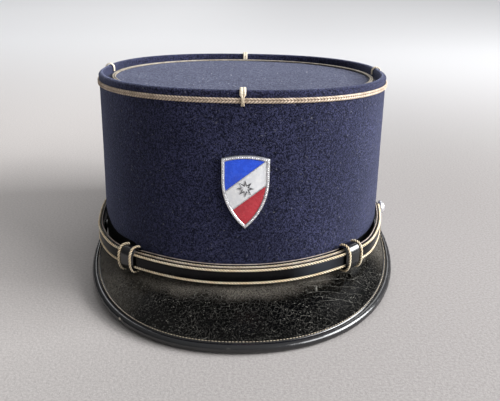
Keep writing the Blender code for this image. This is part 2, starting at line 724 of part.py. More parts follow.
def build_badge():
    """Rimmed shield, blue, white and red fields split by a diagonal, and a star."""
    depth = -BADGE_TOP_DEPTH
    tip_depth = depth - BADGE_HEIGHT
    front = on_crown(0.0, 0.0, depth).y
    slope = math.atan2(on_crown(0.0, 0.0, tip_depth).y - front, BADGE_HEIGHT)
    upright = Matrix.Rotation(90 * DEG + slope, 4, "X")
    place = Matrix.Translation((BADGE_SHIFT, front - GAP, depth)) @ upright

    def raised(height):
        return place @ Matrix.Translation((0, 0, height))

    plate = add_flat("badge_plate", shield(0.0), BADGE_THICKNESS, silver)
    plate.parent = crown_frame
    plate.matrix_basis = raised(BADGE_THICKNESS / 2)
    pocket = add_flat("badge_pocket", shield(BADGE_RIM), 2 * BADGE_POCKET, silver, cutters)
    pocket.parent = crown_frame
    pocket.matrix_basis = raised(BADGE_THICKNESS)
    subtract(plate, pocket)

    floor = BADGE_THICKNESS - BADGE_POCKET
    enamel = raised(floor + GAP + ENAMEL_THICKNESS / 2)
    across = Vector((-math.sin(BAND_ANGLE), math.cos(BAND_ANGLE), 0))
    middle = Vector((0, BAND_CENTRE, 0))
    upper = middle + across * BAND_HALF_WIDTH
    lower = middle - across * BAND_HALF_WIDTH
    split = across * (GAP / 2)
    field("badge_blue", [(upper + split, -across)], blue_enamel, enamel)
    field("badge_white", [(upper - split, across), (lower + split, -across)], white_enamel, enamel)
    field("badge_red", [(lower - split, across)], red_enamel, enamel)

    points = []
    for i in range(2 * STAR_POINTS):
        radius = STAR_RADIUS if i % 2 == 0 else STAR_RADIUS * STAR_INNER
        angle = math.pi * i / STAR_POINTS
        points.append((radius * math.cos(angle), radius * math.sin(angle)))
    star = add_flat("badge_star", points, STAR_THICKNESS, silver)
    star.parent = crown_frame
    above = floor + GAP + ENAMEL_THICKNESS + GAP + STAR_THICKNESS / 2
    star.matrix_basis = raised(above) @ Matrix.Translation((0, BAND_CENTRE, 0))


build_crown_side()
build_crown_top()
build_braids()
build_rim_tabs()
build_visor()
build_binding()
right_strap = build_strap(1, RIGHT_STRAP_ROUTE)
left_strap = build_strap(-1, LEFT_STRAP_ROUTE)
for side in (1, -1):
    build_loop(side)
build_button(1, right_strap, RIGHT_STRAP_ROUTE)
build_button(-1, left_strap, LEFT_STRAP_ROUTE)
build_badge()
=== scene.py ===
"""The kepi cap, dressed: felted wool, soutache braid, cracked leather, patent trim, enamel.

Ring pieces are modelled on a plain round of radius ROUND and moulded to the crown's
oval at the end; straight pieces are modelled along x and laid on the strap's or the
visor's route. Every finished piece has its place in its mesh. Lengths are in metres,
turns run from the front of the cap towards its +x side.
"""

import math

import bmesh
import bpy
import numpy as np
from mathutils import Euler, Matrix, Vector, kdtree


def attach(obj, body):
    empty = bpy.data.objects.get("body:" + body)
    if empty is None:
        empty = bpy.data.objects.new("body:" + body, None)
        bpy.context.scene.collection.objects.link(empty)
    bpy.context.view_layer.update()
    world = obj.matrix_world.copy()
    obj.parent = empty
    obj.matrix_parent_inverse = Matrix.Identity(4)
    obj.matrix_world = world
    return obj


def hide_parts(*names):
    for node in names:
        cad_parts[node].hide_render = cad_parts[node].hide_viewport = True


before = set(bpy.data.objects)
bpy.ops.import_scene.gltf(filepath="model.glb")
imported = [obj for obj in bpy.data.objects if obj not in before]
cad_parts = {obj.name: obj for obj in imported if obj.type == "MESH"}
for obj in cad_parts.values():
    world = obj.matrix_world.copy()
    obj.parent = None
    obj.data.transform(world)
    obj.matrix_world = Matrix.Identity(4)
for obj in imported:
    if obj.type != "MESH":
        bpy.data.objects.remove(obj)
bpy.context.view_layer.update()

MM = 0.001
DEG, FULL_TURN = math.pi / 180, 2 * math.pi
ROUND = 95 * MM

# ---------------- the cap's own curves

TOP_CENTRE = (1.5 * MM, 26.0 * MM, 111.5 * MM)
TILT_BACK, LEAN_RIGHT = 3.2 * DEG, 0.8 * DEG
HALF_WIDTH, HALF_LENGTH, OVAL_POWER, FLARE = 87.0 * MM, 103.0 * MM, 2.3, 0.0112
BASE_DEPTH, BASE_SLOPE, WALL = 105.5 * MM, 0.0049, 2.5 * MM
ROLL, LIP_DEPTH, LIP_TAPER, TOP_DEPTH = 1.75 * MM, 7.0 * MM, 2.0 * MM, 4.5 * MM
SIDE_BRAID_DEPTH, TOP_ROUND = 5.2 * MM, 90 * MM
CROWN_SIDES, WALL_CUTS = 288, 24
SHADE_LINE_ROW, SHADE_LINE_ROW_REACH = 4 * BASE_DEPTH / (WALL_CUTS + 1), 60.0 * MM
RIM_CORD, RIM_CORD_DEPTH, RIM_CORD_REACH = 0.35 * MM, 2.0 * MM, 2.1 * MM
WAVES_FROM, WAVES_FULL, WAVES_EDGE = 9 * MM, 25 * MM, 12 * MM
SEAM_DEPTH, SEAM_WIDTH, SEAM_RIDGE, SEAM_RIDGE_WIDTH = 0.45 * MM, 0.7 * MM, 2.6 * MM, 1.6 * MM
LEVEL_FROM = SIDE_BRAID_DEPTH + 3 * MM
TOP_RINGS = (1.2, 2.0, 3.0, 5.0, 6.0, 8.0, 9.0, 10.0, 10.0, 10.0, 10.0, 8.0)
# Painted shade: the wool below this line is painted near-black.
SHADE_LINE_TABLE = (
    # turn, rise in millimetres of the line below which the strap keeps the light off the wool
    (-84.0, -3.0),
    (-79.0, 18.0),
    (-74.0, 24.0),
    (-70.0, 24.5),
    (-64.0, 22.0),
    (-60.0, 19.8),
    (-53.0, 18.0),
    (-41.0, 17.6),
    (-34.0, 13.5),
    (-25.0, 11.0),
    (0.0, 9.0),
    (25.0, 10.5),
    (36.0, 13.0),
    (44.0, 16.0),
    (55.0, 16.7),
    (66.0, 17.8),
    (76.0, 19.0),
    (82.0, -3.0),
)
TOP_BRAID_HALF_WIDTH, TOP_BRAID_HALF_LENGTH, TOP_BRAID_POWER = 79.7 * MM, 92.0 * MM, 2.05

VISOR_HALF_WIDTH, VISOR_HALF_LENGTH, VISOR_POWER = 87.0 * MM, 108.0 * MM, 2.12
VISOR_CENTRE = (1.1 * MM, -19.5 * MM)
VISOR_TIP_TURN, VISOR_SEAM_TURN, LEATHER_SHARE = 109.0 * DEG, 69.0 * DEG, 0.85
VISOR_THICKNESS, VISOR_CROWN_GAP, LEATHER_STOP = 2.0 * MM, 0.9 * MM, 1.2 * MM
VISOR_BULGE, VISOR_FULL_DEPTH = 1.3 * MM, 45.0 * MM
SEAM_RISE_FRONT, SEAM_RISE_TIP, SEAM_RISE_POWER = 2.5 * MM, 7.5 * MM, 4.5
EDGE_REST, EDGE_RISE, EDGE_RISE_POWER = 2.2 * MM, 8.5 * MM, 1.6
EDGE_LIFT, EDGE_LIFT_HALF_WIDTH = 0.5 * MM, 28.0 * MM
BINDING_RADIUS, BINDING_TIP_RADIUS, BINDING_THIN_FROM = 2.4 * MM, 1.7 * MM, 0.82
BINDING_CROWN_GAP = 0.9 * MM

STRAP_THICKNESS, STRAP_HALF_HEIGHT, STRAP_SHOULDER = 2.2 * MM, 4.1 * MM, 1.1 * MM
STRAP_PAST_LOOP, STRAP_CUTS = 1.0 * MM, 260
CORD_RADIUS, CORD_RISE, CORD_OUT, CORD_PITCH = 0.68 * MM, 3.5 * MM, 1.95 * MM, 3.3 * MM
CORD_PLY_RADIUS, CORD_STOP = 0.52 * CORD_RADIUS, 5.0 * MM
STITCH_STEP, STITCH_IN, STITCH_UP = 1.7 * MM, 2.66 * MM, 1.54 * MM
STITCH_SIZE, STITCH_LEANS = (0.66, 0.24, 0.2), (-0.05, 0.07)
SIDES = {1: "right", -1: "left"}
BUTTON_TURNS, STRAP_TAIL = {1: 84.5 * DEG, -1: 97.0 * DEG}, 4.2 * MM
LOOP_TURN, LOOP_HALF_WIDTH, LOOP_THICKNESS, LOOP_CLEARANCE = 38.3 * DEG, 5.2 * MM, 1.2 * MM, 0.45 * MM
LOOP_CORD_INSET, LOOP_SQUARE, LOOP_WALL, BUTTON_LIFT = 1.3 * MM, 0.7, 0.9 * MM, 0.5 * MM
PIPING_RISE, PIPING_OUT, PIPING_TWIST, PIPING_RADIUS = 0.42 * MM, 0.15 * MM, 0.13 * MM, 0.16 * MM
RIGHT_STRAP_ROUTE = (
    # turn, rise of the strap's middle above the crown's edge, gap behind it
    (-47.0, 11.0, 6.3),
    (-30.0, 10.2, 4.7),
    (0.0, 8.2, 4.6),
    (30.0, 10.5, 4.7),
    (47.0, 12.9, 6.1),
    (60.0, 14.9, 3.5),
    (76.0, 16.9, 0.7),
    (96.0, 17.8, 0.5),
)
LEFT_STRAP_ROUTE = (
    (-96.0, 18.4, 0.5),
    (-76.0, 15.2, 2.0),
    (-63.0, 13.6, 4.2),
    (-53.0, 11.4, 4.7),
    (-46.0, 10.2, 4.1),
    (-42.0, 10.4, 2.9),
    (-30.0, 10.7, 1.8),
    (0.0, 8.8, 1.7),
    (30.0, 11.1, 1.8),
    (47.0, 13.4, 3.2),
)
ROUTES = {1: RIGHT_STRAP_ROUTE, -1: LEFT_STRAP_ROUTE}

CROWN = Matrix.Translation(TOP_CENTRE) @ Euler((-TILT_BACK, LEAN_RIGHT, 0)).to_matrix().to_4x4()
CROWN_TURN, CROWN_PLACE = np.array(CROWN.to_3x3()), np.array(CROWN.translation)


def to_world(points):
    return points @ CROWN_TURN.T + CROWN_PLACE


def held(values):
    """The values, none of them under 0 or over 1."""
    return np.clip(values, 0.0, 1.0)


def raised(values, power):
    """The values' sizes to a power, each with its own sign."""
    return np.sign(values) * np.abs(values) ** power


def bell(distance, width):
    """1 at no distance, falling smoothly to 0 over about twice the width."""
    return np.exp(-((distance / width) ** 2))


def unit(vectors):
    return vectors / np.linalg.norm(vectors, axis=-1, keepdims=True)


def oval(turn, half_width, half_length, power):
    """Points and outward normals of an oval at each turn."""
    across, along = np.sin(turn), -np.cos(turn)
    x = half_width * raised(across, 2 / power)
    y = half_length * raised(along, 2 / power)
    steep_x = raised(x / half_width, power - 1) / half_width
    steep_y = raised(y / half_length, power - 1) / half_length
    size = np.hypot(steep_x, steep_y)
    return x, y, steep_x / size, steep_y / size


def beside_oval(turn, out, z, half_width, half_length, power):
    """Points out from an oval, at height z."""
    turn, out, z = np.broadcast_arrays(turn, out, z)
    x, y, along_x, along_y = oval(turn, half_width, half_length, power)
    return np.stack((x + out * along_x, y + out * along_y, z), axis=-1)


def on_crown(turn, out, z):
    """Points out from the crown's wall at height z, in the crown's own frame."""
    grown = FLARE * np.asarray(z)
    return beside_oval(turn, out, z, HALF_WIDTH + grown, HALF_LENGTH + grown, OVAL_POWER)


def on_top_oval(turn, out, z):
    """Points out from the oval that the top braid lies on."""
    return beside_oval(turn, out, z, TOP_BRAID_HALF_WIDTH, TOP_BRAID_HALF_LENGTH, TOP_BRAID_POWER)


def base_z(x, y):
    return -BASE_DEPTH - BASE_SLOPE * y + math.tan(LEAN_RIGHT) * x


def above_base(turn, out, rise):
    """Points out from the wall at a rise above the crown's bottom edge."""
    points = on_crown(turn, out, rise - BASE_DEPTH)
    points[..., 2] = base_z(points[..., 0], points[..., 1]) + rise
    return points


def travelled(points):
    """Length along a run from its first point to each of its points."""
    return np.concatenate(([0.0], np.cumsum(np.linalg.norm(np.diff(points, axis=0), axis=1))))


FINE_TURNS = np.linspace(-math.pi, math.pi, 3601)


def lengths_round(z):
    """Length along the wall from the front to each of the fine turns, at height z."""
    length = travelled(on_crown(FINE_TURNS, 0.0, z))
    return length - length[len(length) // 2]


BASE_LENGTHS = lengths_round(-BASE_DEPTH)
RIM_LENGTHS = lengths_round(0.0)


def base_turn(length):
    return np.interp(length, BASE_LENGTHS, FINE_TURNS)


def base_length(turn):
    return np.interp(turn, FINE_TURNS, BASE_LENGTHS)


def smooth_rows(table, turn):
    """Rise and gap of a strap's route at each turn, on a smooth curve through its rows."""
    rows = np.array(table)
    turn = np.asarray(turn) / DEG
    place = np.clip(np.searchsorted(rows[:, 0], turn) - 1, 0, len(rows) - 2)
    low, high = rows[place], rows[place + 1]
    before, after = rows[np.maximum(place - 1, 0)], rows[np.minimum(place + 2, len(rows) - 1)]
    span = high[..., :1] - low[..., :1]
    share = held((turn[..., None] - low[..., :1]) / span)
    slope_low = (high - before) / (high[..., :1] - before[..., :1]) * span
    slope_high = (after - low) / (after[..., :1] - low[..., :1]) * span
    square, cube = share**2, share**3
    values = (
        (2 * cube - 3 * square + 1) * low
        + (cube - 2 * square + share) * slope_low
        + (3 * square - 2 * cube) * high
        + (cube - square) * slope_high
    )
    return values[..., 1] * MM, values[..., 2] * MM


def strap_place(route, turn, out, rise):
    """Points of a strap: out from its inner face, rise from its middle line."""
    middle, gap = smooth_rows(route, turn)
    return above_base(turn, gap + out, middle + rise)


def edge_height(x, y):
    share = (y - VISOR_CENTRE[1] + VISOR_HALF_LENGTH) / VISOR_HALF_LENGTH
    lift = EDGE_LIFT * bell(x - VISOR_CENTRE[0], EDGE_LIFT_HALF_WIDTH)
    return EDGE_REST + lift + EDGE_RISE * np.maximum(share, 0.0) ** EDGE_RISE_POWER


def binding_radius(share):
    thin = np.maximum(np.abs(share) - BINDING_THIN_FROM, 0.0) / (1 - BINDING_THIN_FROM)
    return BINDING_RADIUS + (BINDING_TIP_RADIUS - BINDING_RADIUS) * thin


def visor_edge(share):
    """The middle of the visor's bound edge in the world, share from -1 to 1."""
    x, y, _, _ = oval(VISOR_TIP_TURN * share, VISOR_HALF_WIDTH, VISOR_HALF_LENGTH, VISOR_POWER)
    x, y = x + VISOR_CENTRE[0], y + VISOR_CENTRE[1]
    local = (np.stack((x, y, edge_height(x, y)), axis=-1) - CROWN_PLACE) @ CROWN_TURN
    grown = FLARE * local[..., 2]
    level = np.abs(local[..., 0] / (HALF_WIDTH + grown)) ** OVAL_POWER
    level += np.abs(local[..., 1] / (HALF_LENGTH + grown)) ** OVAL_POWER
    plan = np.hypot(local[..., 0], local[..., 1])
    clear = plan * (1 - level ** (-1 / OVAL_POWER))
    push = np.maximum(binding_radius(share) + BINDING_CROWN_GAP - clear, 0.0) / plan
    local[..., :2] *= (1 + push)[..., None]
    return to_world(local)


def visor_seam(share):
    rise = SEAM_RISE_FRONT + (SEAM_RISE_TIP - SEAM_RISE_FRONT) * np.abs(share) ** SEAM_RISE_POWER
    return to_world(above_base(VISOR_SEAM_TURN * share, VISOR_CROWN_GAP, rise - VISOR_THICKNESS / 2))


def visor_point(share, across):
    """Middle surface of the visor's leather: across runs from the seam to the edge."""
    share, across = np.broadcast_arrays(share, across)
    seam, edge = visor_seam(share), visor_edge(share * LEATHER_SHARE)
    point = seam + (edge - seam) * across[..., None]
    reach = np.minimum(np.linalg.norm(edge - seam, axis=-1) / VISOR_FULL_DEPTH, 1.0)
    point[..., 2] += VISOR_BULGE * reach * 4 * across * (1 - across)
    return point


def ripple(points, size, seed):
    """A smooth unevenness between about -1 and 1, for surfaces that aren't quite true."""
    waves = np.random.default_rng(seed)
    total = np.zeros(points.shape[:-1])
    for _ in range(7):
        direction = waves.normal(size=3)
        direction *= waves.uniform(0.6, 1.6) / np.linalg.norm(direction)
        total += np.sin(points @ direction * (FULL_TURN / size) + waves.uniform(0, 6.28))
    return total / 4


def uneven(points, *waves):
    """Ripples added up, each of a height and a size in millimetres, and a seed."""
    return sum(height * MM * ripple(points, size * MM, seed) for height, size, seed in waves)


# ---------------- handling of pieces


def put_in(thing):
    """Put a thing in the scene."""
    bpy.context.scene.collection.objects.link(thing)
    return thing


def take(piece):
    """Make one piece the only selected and the active one."""
    bpy.ops.object.select_all(action="DESELECT")
    piece.select_set(True)
    bpy.context.view_layer.objects.active = piece


def begin(name):
    """Name the primitive just added, and put its place in its mesh."""
    piece = bpy.context.object
    piece.name = piece.data.name = name
    bpy.ops.object.transform_apply(location=True, rotation=True, scale=True)
    return piece


def carry(piece, place):
    """Move the piece to a place, and put that place in its mesh."""
    take(piece)
    piece.matrix_world = place
    bpy.ops.object.transform_apply(location=True, rotation=True, scale=True)


def edit(piece):
    take(piece)
    bpy.ops.object.mode_set(mode="EDIT")


def leave():
    bpy.ops.object.mode_set(mode="OBJECT")


def pick(piece, kind, test):
    """In edit mode, select only the faces or edges that the test is true for."""
    bpy.ops.mesh.select_mode(type={"faces": "FACE", "edges": "EDGE"}[kind])
    bpy.ops.mesh.select_all(action="DESELECT")
    bm = bmesh.from_edit_mesh(piece.data)
    for element in getattr(bm, kind):
        if test(element):
            element.select_set(True)
    bm.select_flush_mode()
    bmesh.update_edit_mesh(piece.data)


def spans(axis, length):
    """Test for edges that reach further than a length along one axis."""

    def test(edge):
        first, last = (getattr(vert.co, axis) for vert in edge.verts)
        return abs(first - last) > length

    return test


def all_above(height):
    """Test for edges that lie above a height."""
    return lambda edge: all(vert.co.z > height for vert in edge.verts)


def runs_round(edge):
    """True for an edge that runs round a ring, at one height and one reach."""
    first, last = (vert.co for vert in edge.verts)
    return abs(first.z - last.z) < 1e-7 and abs(first.xy.length - last.xy.length) < 1e-6


def on_ring(height):
    """Test for edges that run round at a height."""
    return lambda edge: runs_round(edge) and abs(edge.verts[0].co.z - height) < 0.1 * MM


def pick_all():
    bpy.ops.mesh.select_all(action="SELECT")


def extrude(way):
    bpy.ops.mesh.extrude_region_move(TRANSFORM_OT_translate={"value": way})


def bevel(width, steps):
    bpy.ops.mesh.bevel(offset=width, segments=steps, profile=0.5)


def face_outwards():
    pick_all()
    bpy.ops.mesh.normals_make_consistent(inside=False)


def points_of(piece):
    flat = np.empty(3 * len(piece.data.vertices))
    piece.data.vertices.foreach_get("co", flat)
    return flat.reshape(-1, 3)


def mould(piece, points):
    """Give every point of the piece its new place."""
    piece.data.vertices.foreach_set("co", np.ascontiguousarray(points, dtype=float).ravel())
    piece.data.update()


def spots_of(piece):
    """Each point's u and v, from 0 to 1, on a flat unit grid that was just added."""
    points = points_of(piece)
    return points[:, 0], points[:, 1]


def add_grid(name, columns, rows):
    bpy.ops.mesh.primitive_grid_add(
        x_subdivisions=columns, y_subdivisions=rows, size=1.0, location=(0.5, 0.5, 0.0)
    )
    return begin(name)


def close_up(piece):
    """Weld what meets, fill the ends and turn all faces outwards."""
    edit(piece)
    pick_all()
    bpy.ops.mesh.remove_doubles(threshold=0.002 * MM)
    pick_all()
    bpy.ops.mesh.fill_holes(sides=0)
    face_outwards()
    leave()


def thicken(piece, thickness, side, even=True):
    """Give a sheet its thickness, on one side of it or on both, and close it up."""
    take(piece)
    sheet = piece.modifiers.new("thickness", "SOLIDIFY")
    sheet.thickness, sheet.offset, sheet.use_even_offset = thickness, side, even
    bpy.ops.object.modifier_apply(modifier=sheet.name)
    close_up(piece)


def join(name, pieces):
    """Make several pieces one, under a new name."""
    take(pieces[0])
    for piece in pieces:
        piece.select_set(True)
    bpy.ops.object.join()
    pieces[0].name = pieces[0].data.name = name
    return pieces[0]


def wear(piece, finish, slot, *nodes, sharp=40):
    """Give the piece its finish, let it ride on the cap and stand for its nodes."""
    take(piece)
    piece.data.materials.clear()
    piece.data.materials.append(finish)
    bpy.ops.object.shade_smooth_by_angle(angle=sharp * DEG)
    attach(piece, "root")
    if nodes:
        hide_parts(*nodes)


def add_rope(name, runs, radius, sides):
    """Round thread along each run of points: a bevelled curve turned into a mesh."""
    curve = bpy.data.curves.new(name, "CURVE")
    curve.dimensions = "3D"
    for run in runs:
        spline = curve.splines.new("POLY")
        spline.points.add(len(run) - 1)
        flat = np.concatenate((run, np.ones((len(run), 1))), axis=1)
        spline.points.foreach_set("co", flat.ravel())
    curve.bevel_depth = radius
    curve.bevel_resolution = sides // 2 - 2
    curve.use_fill_caps = True
    take(put_in(bpy.data.objects.new(name, curve)))
    bpy.ops.object.convert(target="MESH")
    piece = bpy.context.object
    piece.name = piece.data.name = name
    return piece


def evenly(points, step):
    """The same run with a point every step, and the length to each."""
    lengths = travelled(points)
    count = max(int(round(lengths[-1] / step)), 2)
    places = np.linspace(0.0, lengths[-1], count + 1)
    run = np.stack([np.interp(places, lengths, points[:, axis]) for axis in range(3)], axis=1)
    return run, places


def twisted(points, radius, pitch):
    """Runs of the two plies of a twisted cord that follows the points."""
    run, places = evenly(points, pitch / 10)
    ahead = unit(np.gradient(run, axis=0))
    side = np.empty_like(run)
    side[0] = unit(np.cross(ahead[0], (0.31, 0.17, 0.93)))
    for i in range(1, len(run)):
        side[i] = unit(side[i - 1] - ahead[i] * (side[i - 1] @ ahead[i]))
    up = np.cross(ahead, side)
    runs = []
    for start in (0.0, 0.5):
        angle = FULL_TURN * (places / pitch + start)[:, None]
        runs.append(run + radius * (np.cos(angle) * side + np.sin(angle) * up))
    return runs


def add_cord(name, points, node):
    """A two-ply cord, each of its points knowing how deep it lies between the plies."""
    cord = add_rope(name, twisted(points, CORD_PLY_RADIUS, CORD_PITCH), CORD_PLY_RADIUS, 8)
    run, _ = evenly(points, 0.2 * MM)
    tree = kdtree.KDTree(len(run))
    for number, point in enumerate(run):
        tree.insert(point, number)
    tree.balance()
    reach = np.array([tree.find(point)[2] for point in points_of(cord)])
    # How deep each point lies between the plies, for the painted shade there.
    keep_shade(cord, (reach / CORD_RADIUS - 0.80) / 0.24)
    wear(cord, CORD, "gold_cord", node, sharp=80)


def scatter(name, model, places):
    """Copies of a small model, one at each place, joined to one piece."""
    copies = []
    for place in places:
        twin = put_in(model.copy())
        twin.data = model.data.copy()
        twin.data.transform(place)
        copies.append(twin)
    bpy.data.objects.remove(model, do_unlink=True)
    return join(name, copies)


def keep_shade(piece, values):
    """Keep one value for each point on the piece, for its finish to read."""
    layer = piece.data.attributes.new("depth", "FLOAT", "POINT")
    layer.data.foreach_set("value", np.ascontiguousarray(values, dtype=float))


# ---------------- finishes


class Nodes:
    """The nodes of a material or of the world around."""

    def __init__(self, owner):
        owner.use_nodes = True
        self.tree = owner.node_tree

    def set(self, node, key, value):
        if isinstance(value, bpy.types.NodeSocket):
            self.tree.links.new(value, node.inputs[key])
        else:
            node.inputs[key].default_value = value

    def add(self, kind, inputs=None, output=0, **settings):
        node = self.tree.nodes.new(kind)
        for key, value in settings.items():
            setattr(node, key, value)
        for key, value in (inputs or {}).items():
            self.set(node, key, value)
        return node.outputs[output]


class Finish(Nodes):
    """One material's nodes. Each call adds a node and returns its output."""

    def __init__(self, name, **sockets):
        self.material = bpy.data.materials.new(name)
        super().__init__(self.material)
        self.shader = self.tree.nodes["Principled BSDF"]
        for key, value in sockets.items():
            self.set(self.shader, key.replace("_", " ").title().replace("Ior", "IOR"), value)
        self.place = self.add("ShaderNodeTexCoord", output="Object")

    def done(self, colour, relief, distance, strength, roughness=None):
        """Dress the shader in a colour, a relief and a roughness, and give the material."""
        inputs = {"Height": relief, "Distance": distance * MM, "Strength": strength}
        self.set(self.shader, "Base Color", colour)
        self.set(self.shader, "Normal", self.add("ShaderNodeBump", inputs))
        if roughness is not None:
            self.set(self.shader, "Roughness", roughness)
        return self.material

    def depth(self):
        """The value that keep_shade left on the piece."""
        return self.add("ShaderNodeAttribute", output="Fac", attribute_name="depth")

    def uv(self):
        return self.add("ShaderNodeTexCoord", output="UV")

    def along(self, axis, place=None):
        return self.add("ShaderNodeSeparateXYZ", {0: place or self.place}, axis)

    def stretched(self, scale, place=None):
        return self.add("ShaderNodeMapping", {"Vector": place or self.place, "Scale": scale})

    def moved(self, share, way):
        """Places moved by a share of an uneven way."""
        return self.add("ShaderNodeMix", {0: share, 4: self.place, 5: way}, 1, data_type="VECTOR")

    def away_from(self, spot):
        inputs = {0: self.place, 1: spot}
        return self.add("ShaderNodeVectorMath", inputs, "Value", operation="DISTANCE")

    def noise(self, scale, detail=2.0, rough=0.5, place=None, distortion=0.0, output="Fac"):
        inputs = {"Scale": scale, "Detail": detail, "Roughness": rough, "Distortion": distortion}
        return self.add("ShaderNodeTexNoise", inputs | {"Vector": place or self.place}, output)

    def cells(self, scale, place=None, feature="DISTANCE_TO_EDGE", sides="3D"):
        inputs = {"Vector": place or self.place, "Scale": scale}
        settings = {"feature": feature, "voronoi_dimensions": sides}
        return self.add("ShaderNodeTexVoronoi", inputs, "Distance", **settings)

    def between(self, value, low, high, to_low=0.0, to_high=1.0):
        """Value carried from low..high to to_low..to_high, and held at the ends."""
        inputs = {0: value, 1: low, 2: high, 3: to_low, 4: to_high}
        return self.add("ShaderNodeMapRange", inputs, interpolation_type="SMOOTHSTEP")

    def near(self, value, low, high, most=1.0, least=0.0):
        """Most where the value is low, least where it is high."""
        return self.between(value, low, high, most, least)

    def maths(self, operation, first, second):
        return self.add("ShaderNodeMath", {0: first, 1: second}, operation=operation)

    def times(self, first, second):
        return self.maths("MULTIPLY", first, second)

    def plus(self, first, second, share=None):
        """The first value and the second, or a share of the second."""
        return self.maths("ADD", first, second if share is None else self.times(second, share))

    def most(self, first, *others):
        """The greatest of the values."""
        for other in others:
            first = self.maths("MAXIMUM", first, other)
        return first

    def mix(self, share, first, second):
        """From the first colour to the second, each a socket or three parts."""
        inputs = {0: share}
        for key, colour in ((6, first), (7, second)):
            inputs[key] = (*colour, 1.0) if isinstance(colour, tuple) else colour
        return self.add("ShaderNodeMix", inputs, 2, data_type="RGBA")


FIBRE_LAYERS = ((0.5, 3.1), (1.9, 7.7), (2.8, 12.3))  # the turn and the start of each
SHEEN_TINT = (0.62, 0.68, 1.0, 1.0)


def wool_felt(name, dark, light, lint, glow, lay=(1.0, 1.0, 1.0), painted_shade_line=False):
    """Milled wool: a mottled nap, short fibres lying all ways, and where asked painted near-black as
    shade below the strap's shade line.
    """
    sheen = {"sheen_weight": glow, "sheen_roughness": 0.42, "sheen_tint": SHEEN_TINT}
    made = Finish(name, roughness=0.95, specular_ior_level=0.12, **sheen)
    laid = made.stretched(lay)
    nap = made.times(made.noise(1700, 1.5, 0.6, laid), 0.6)
    height = made.plus(nap, made.noise(820, 2.0, 0.6, laid), 0.4)
    base = made.mix(made.between(height, 0.41, 0.62), dark, light)
    shaded = made.mix(made.between(made.noise(28, 1.0), 0.3, 0.7, 0.0, 0.3), base, dark)
    hairs = []
    for turned, start in FIBRE_LAYERS:
        inputs = {"Vector": made.place, "Scale": (1.0, 0.13, 1.0), "Location": (start, start, start)}
        inputs["Rotation"] = (turned, 0.4 + turned, turned)
        hairs.append(made.noise(900, 1.0, 0.5, made.add("ShaderNodeMapping", inputs), 0.8))
    fibre = made.most(*hairs)
    colour = made.mix(made.between(fibre, 0.71, 0.79, 0.0, 0.55), shaded, lint)
    if painted_shade_line:
        # Painted shade: near-black from just above the shade line down, where the strap keeps the light
        # off the wool.
        colour = made.mix(made.between(made.depth(), -0.9, 0.5), colour, (0.0004, 0.0004, 0.0006))
    return made.done(colour, made.plus(height, fibre, 0.4), 0.6, 1.0)


def gold_thread(name, bright, dull, groove_shade=None):
    """Gilt thread, worn to dull tan in places, with painted shade between the turns of its winding."""
    made = Finish(name, metallic=0.12)
    lightened = made.noise(170, 3.0, 0.6)
    grain = made.noise(1500, 2.0, 0.6)
    aged = made.plus(made.times(lightened, 0.65), grain, 0.35)
    colour = made.mix(made.between(aged, 0.38, 0.60), dull, bright)
    if groove_shade is not None:
        # Painted shade: darker where a point lies deep between the plies or between the turns of the
        # winding.
        colour = made.mix(made.near(made.depth(), -0.9, 0.2, 0.85), colour, groove_shade)
    return made.done(colour, grain, 0.12, 0.7, made.between(lightened, 0.3, 0.7, 0.62, 0.4))


def patent_leather(name, dark, scuffed, scuff_from, gloss, soft, chip=None, painted_reflection=None):
    """Lacquered leather: deep gloss, faint waves, dust and scuffs in worn places, and where asked a
    painted reflection.
    """
    made = Finish(name, specular_ior_level=gloss)
    waves = made.noise(120, 2.0)
    grit = made.noise(1300, 3.0, 0.7)
    scuff = made.between(made.noise(90, 4.0, 0.7), scuff_from, scuff_from + 0.14)
    colour = made.mix(scuff, dark, scuffed)
    worn = made.plus(scuff, grit, 0.4)
    # Painted reflection: a bluish-grey glow round a spot, standing in for the window's reflection on the
    # strap's face.
    if painted_reflection is not None:
        reflection_share = made.near(made.away_from(painted_reflection), 6 * MM, 22 * MM, 0.75)
        colour = made.mix(reflection_share, colour, (0.030, 0.034, 0.042))
    if chip is not None:
        ragged = made.plus(made.away_from(chip), made.noise(800, 2.0), 2.4 * MM)
        bare = made.near(ragged, 2.2 * MM, 3.0 * MM)
        colour = made.mix(bare, colour, (0.42, 0.38, 0.31))
        worn = made.plus(worn, bare)
    rough = made.between(worn, 0.1, 1.2, soft, 0.45)
    return made.done(colour, made.plus(waves, grit, 0.05), 0.35, 0.5, rough)


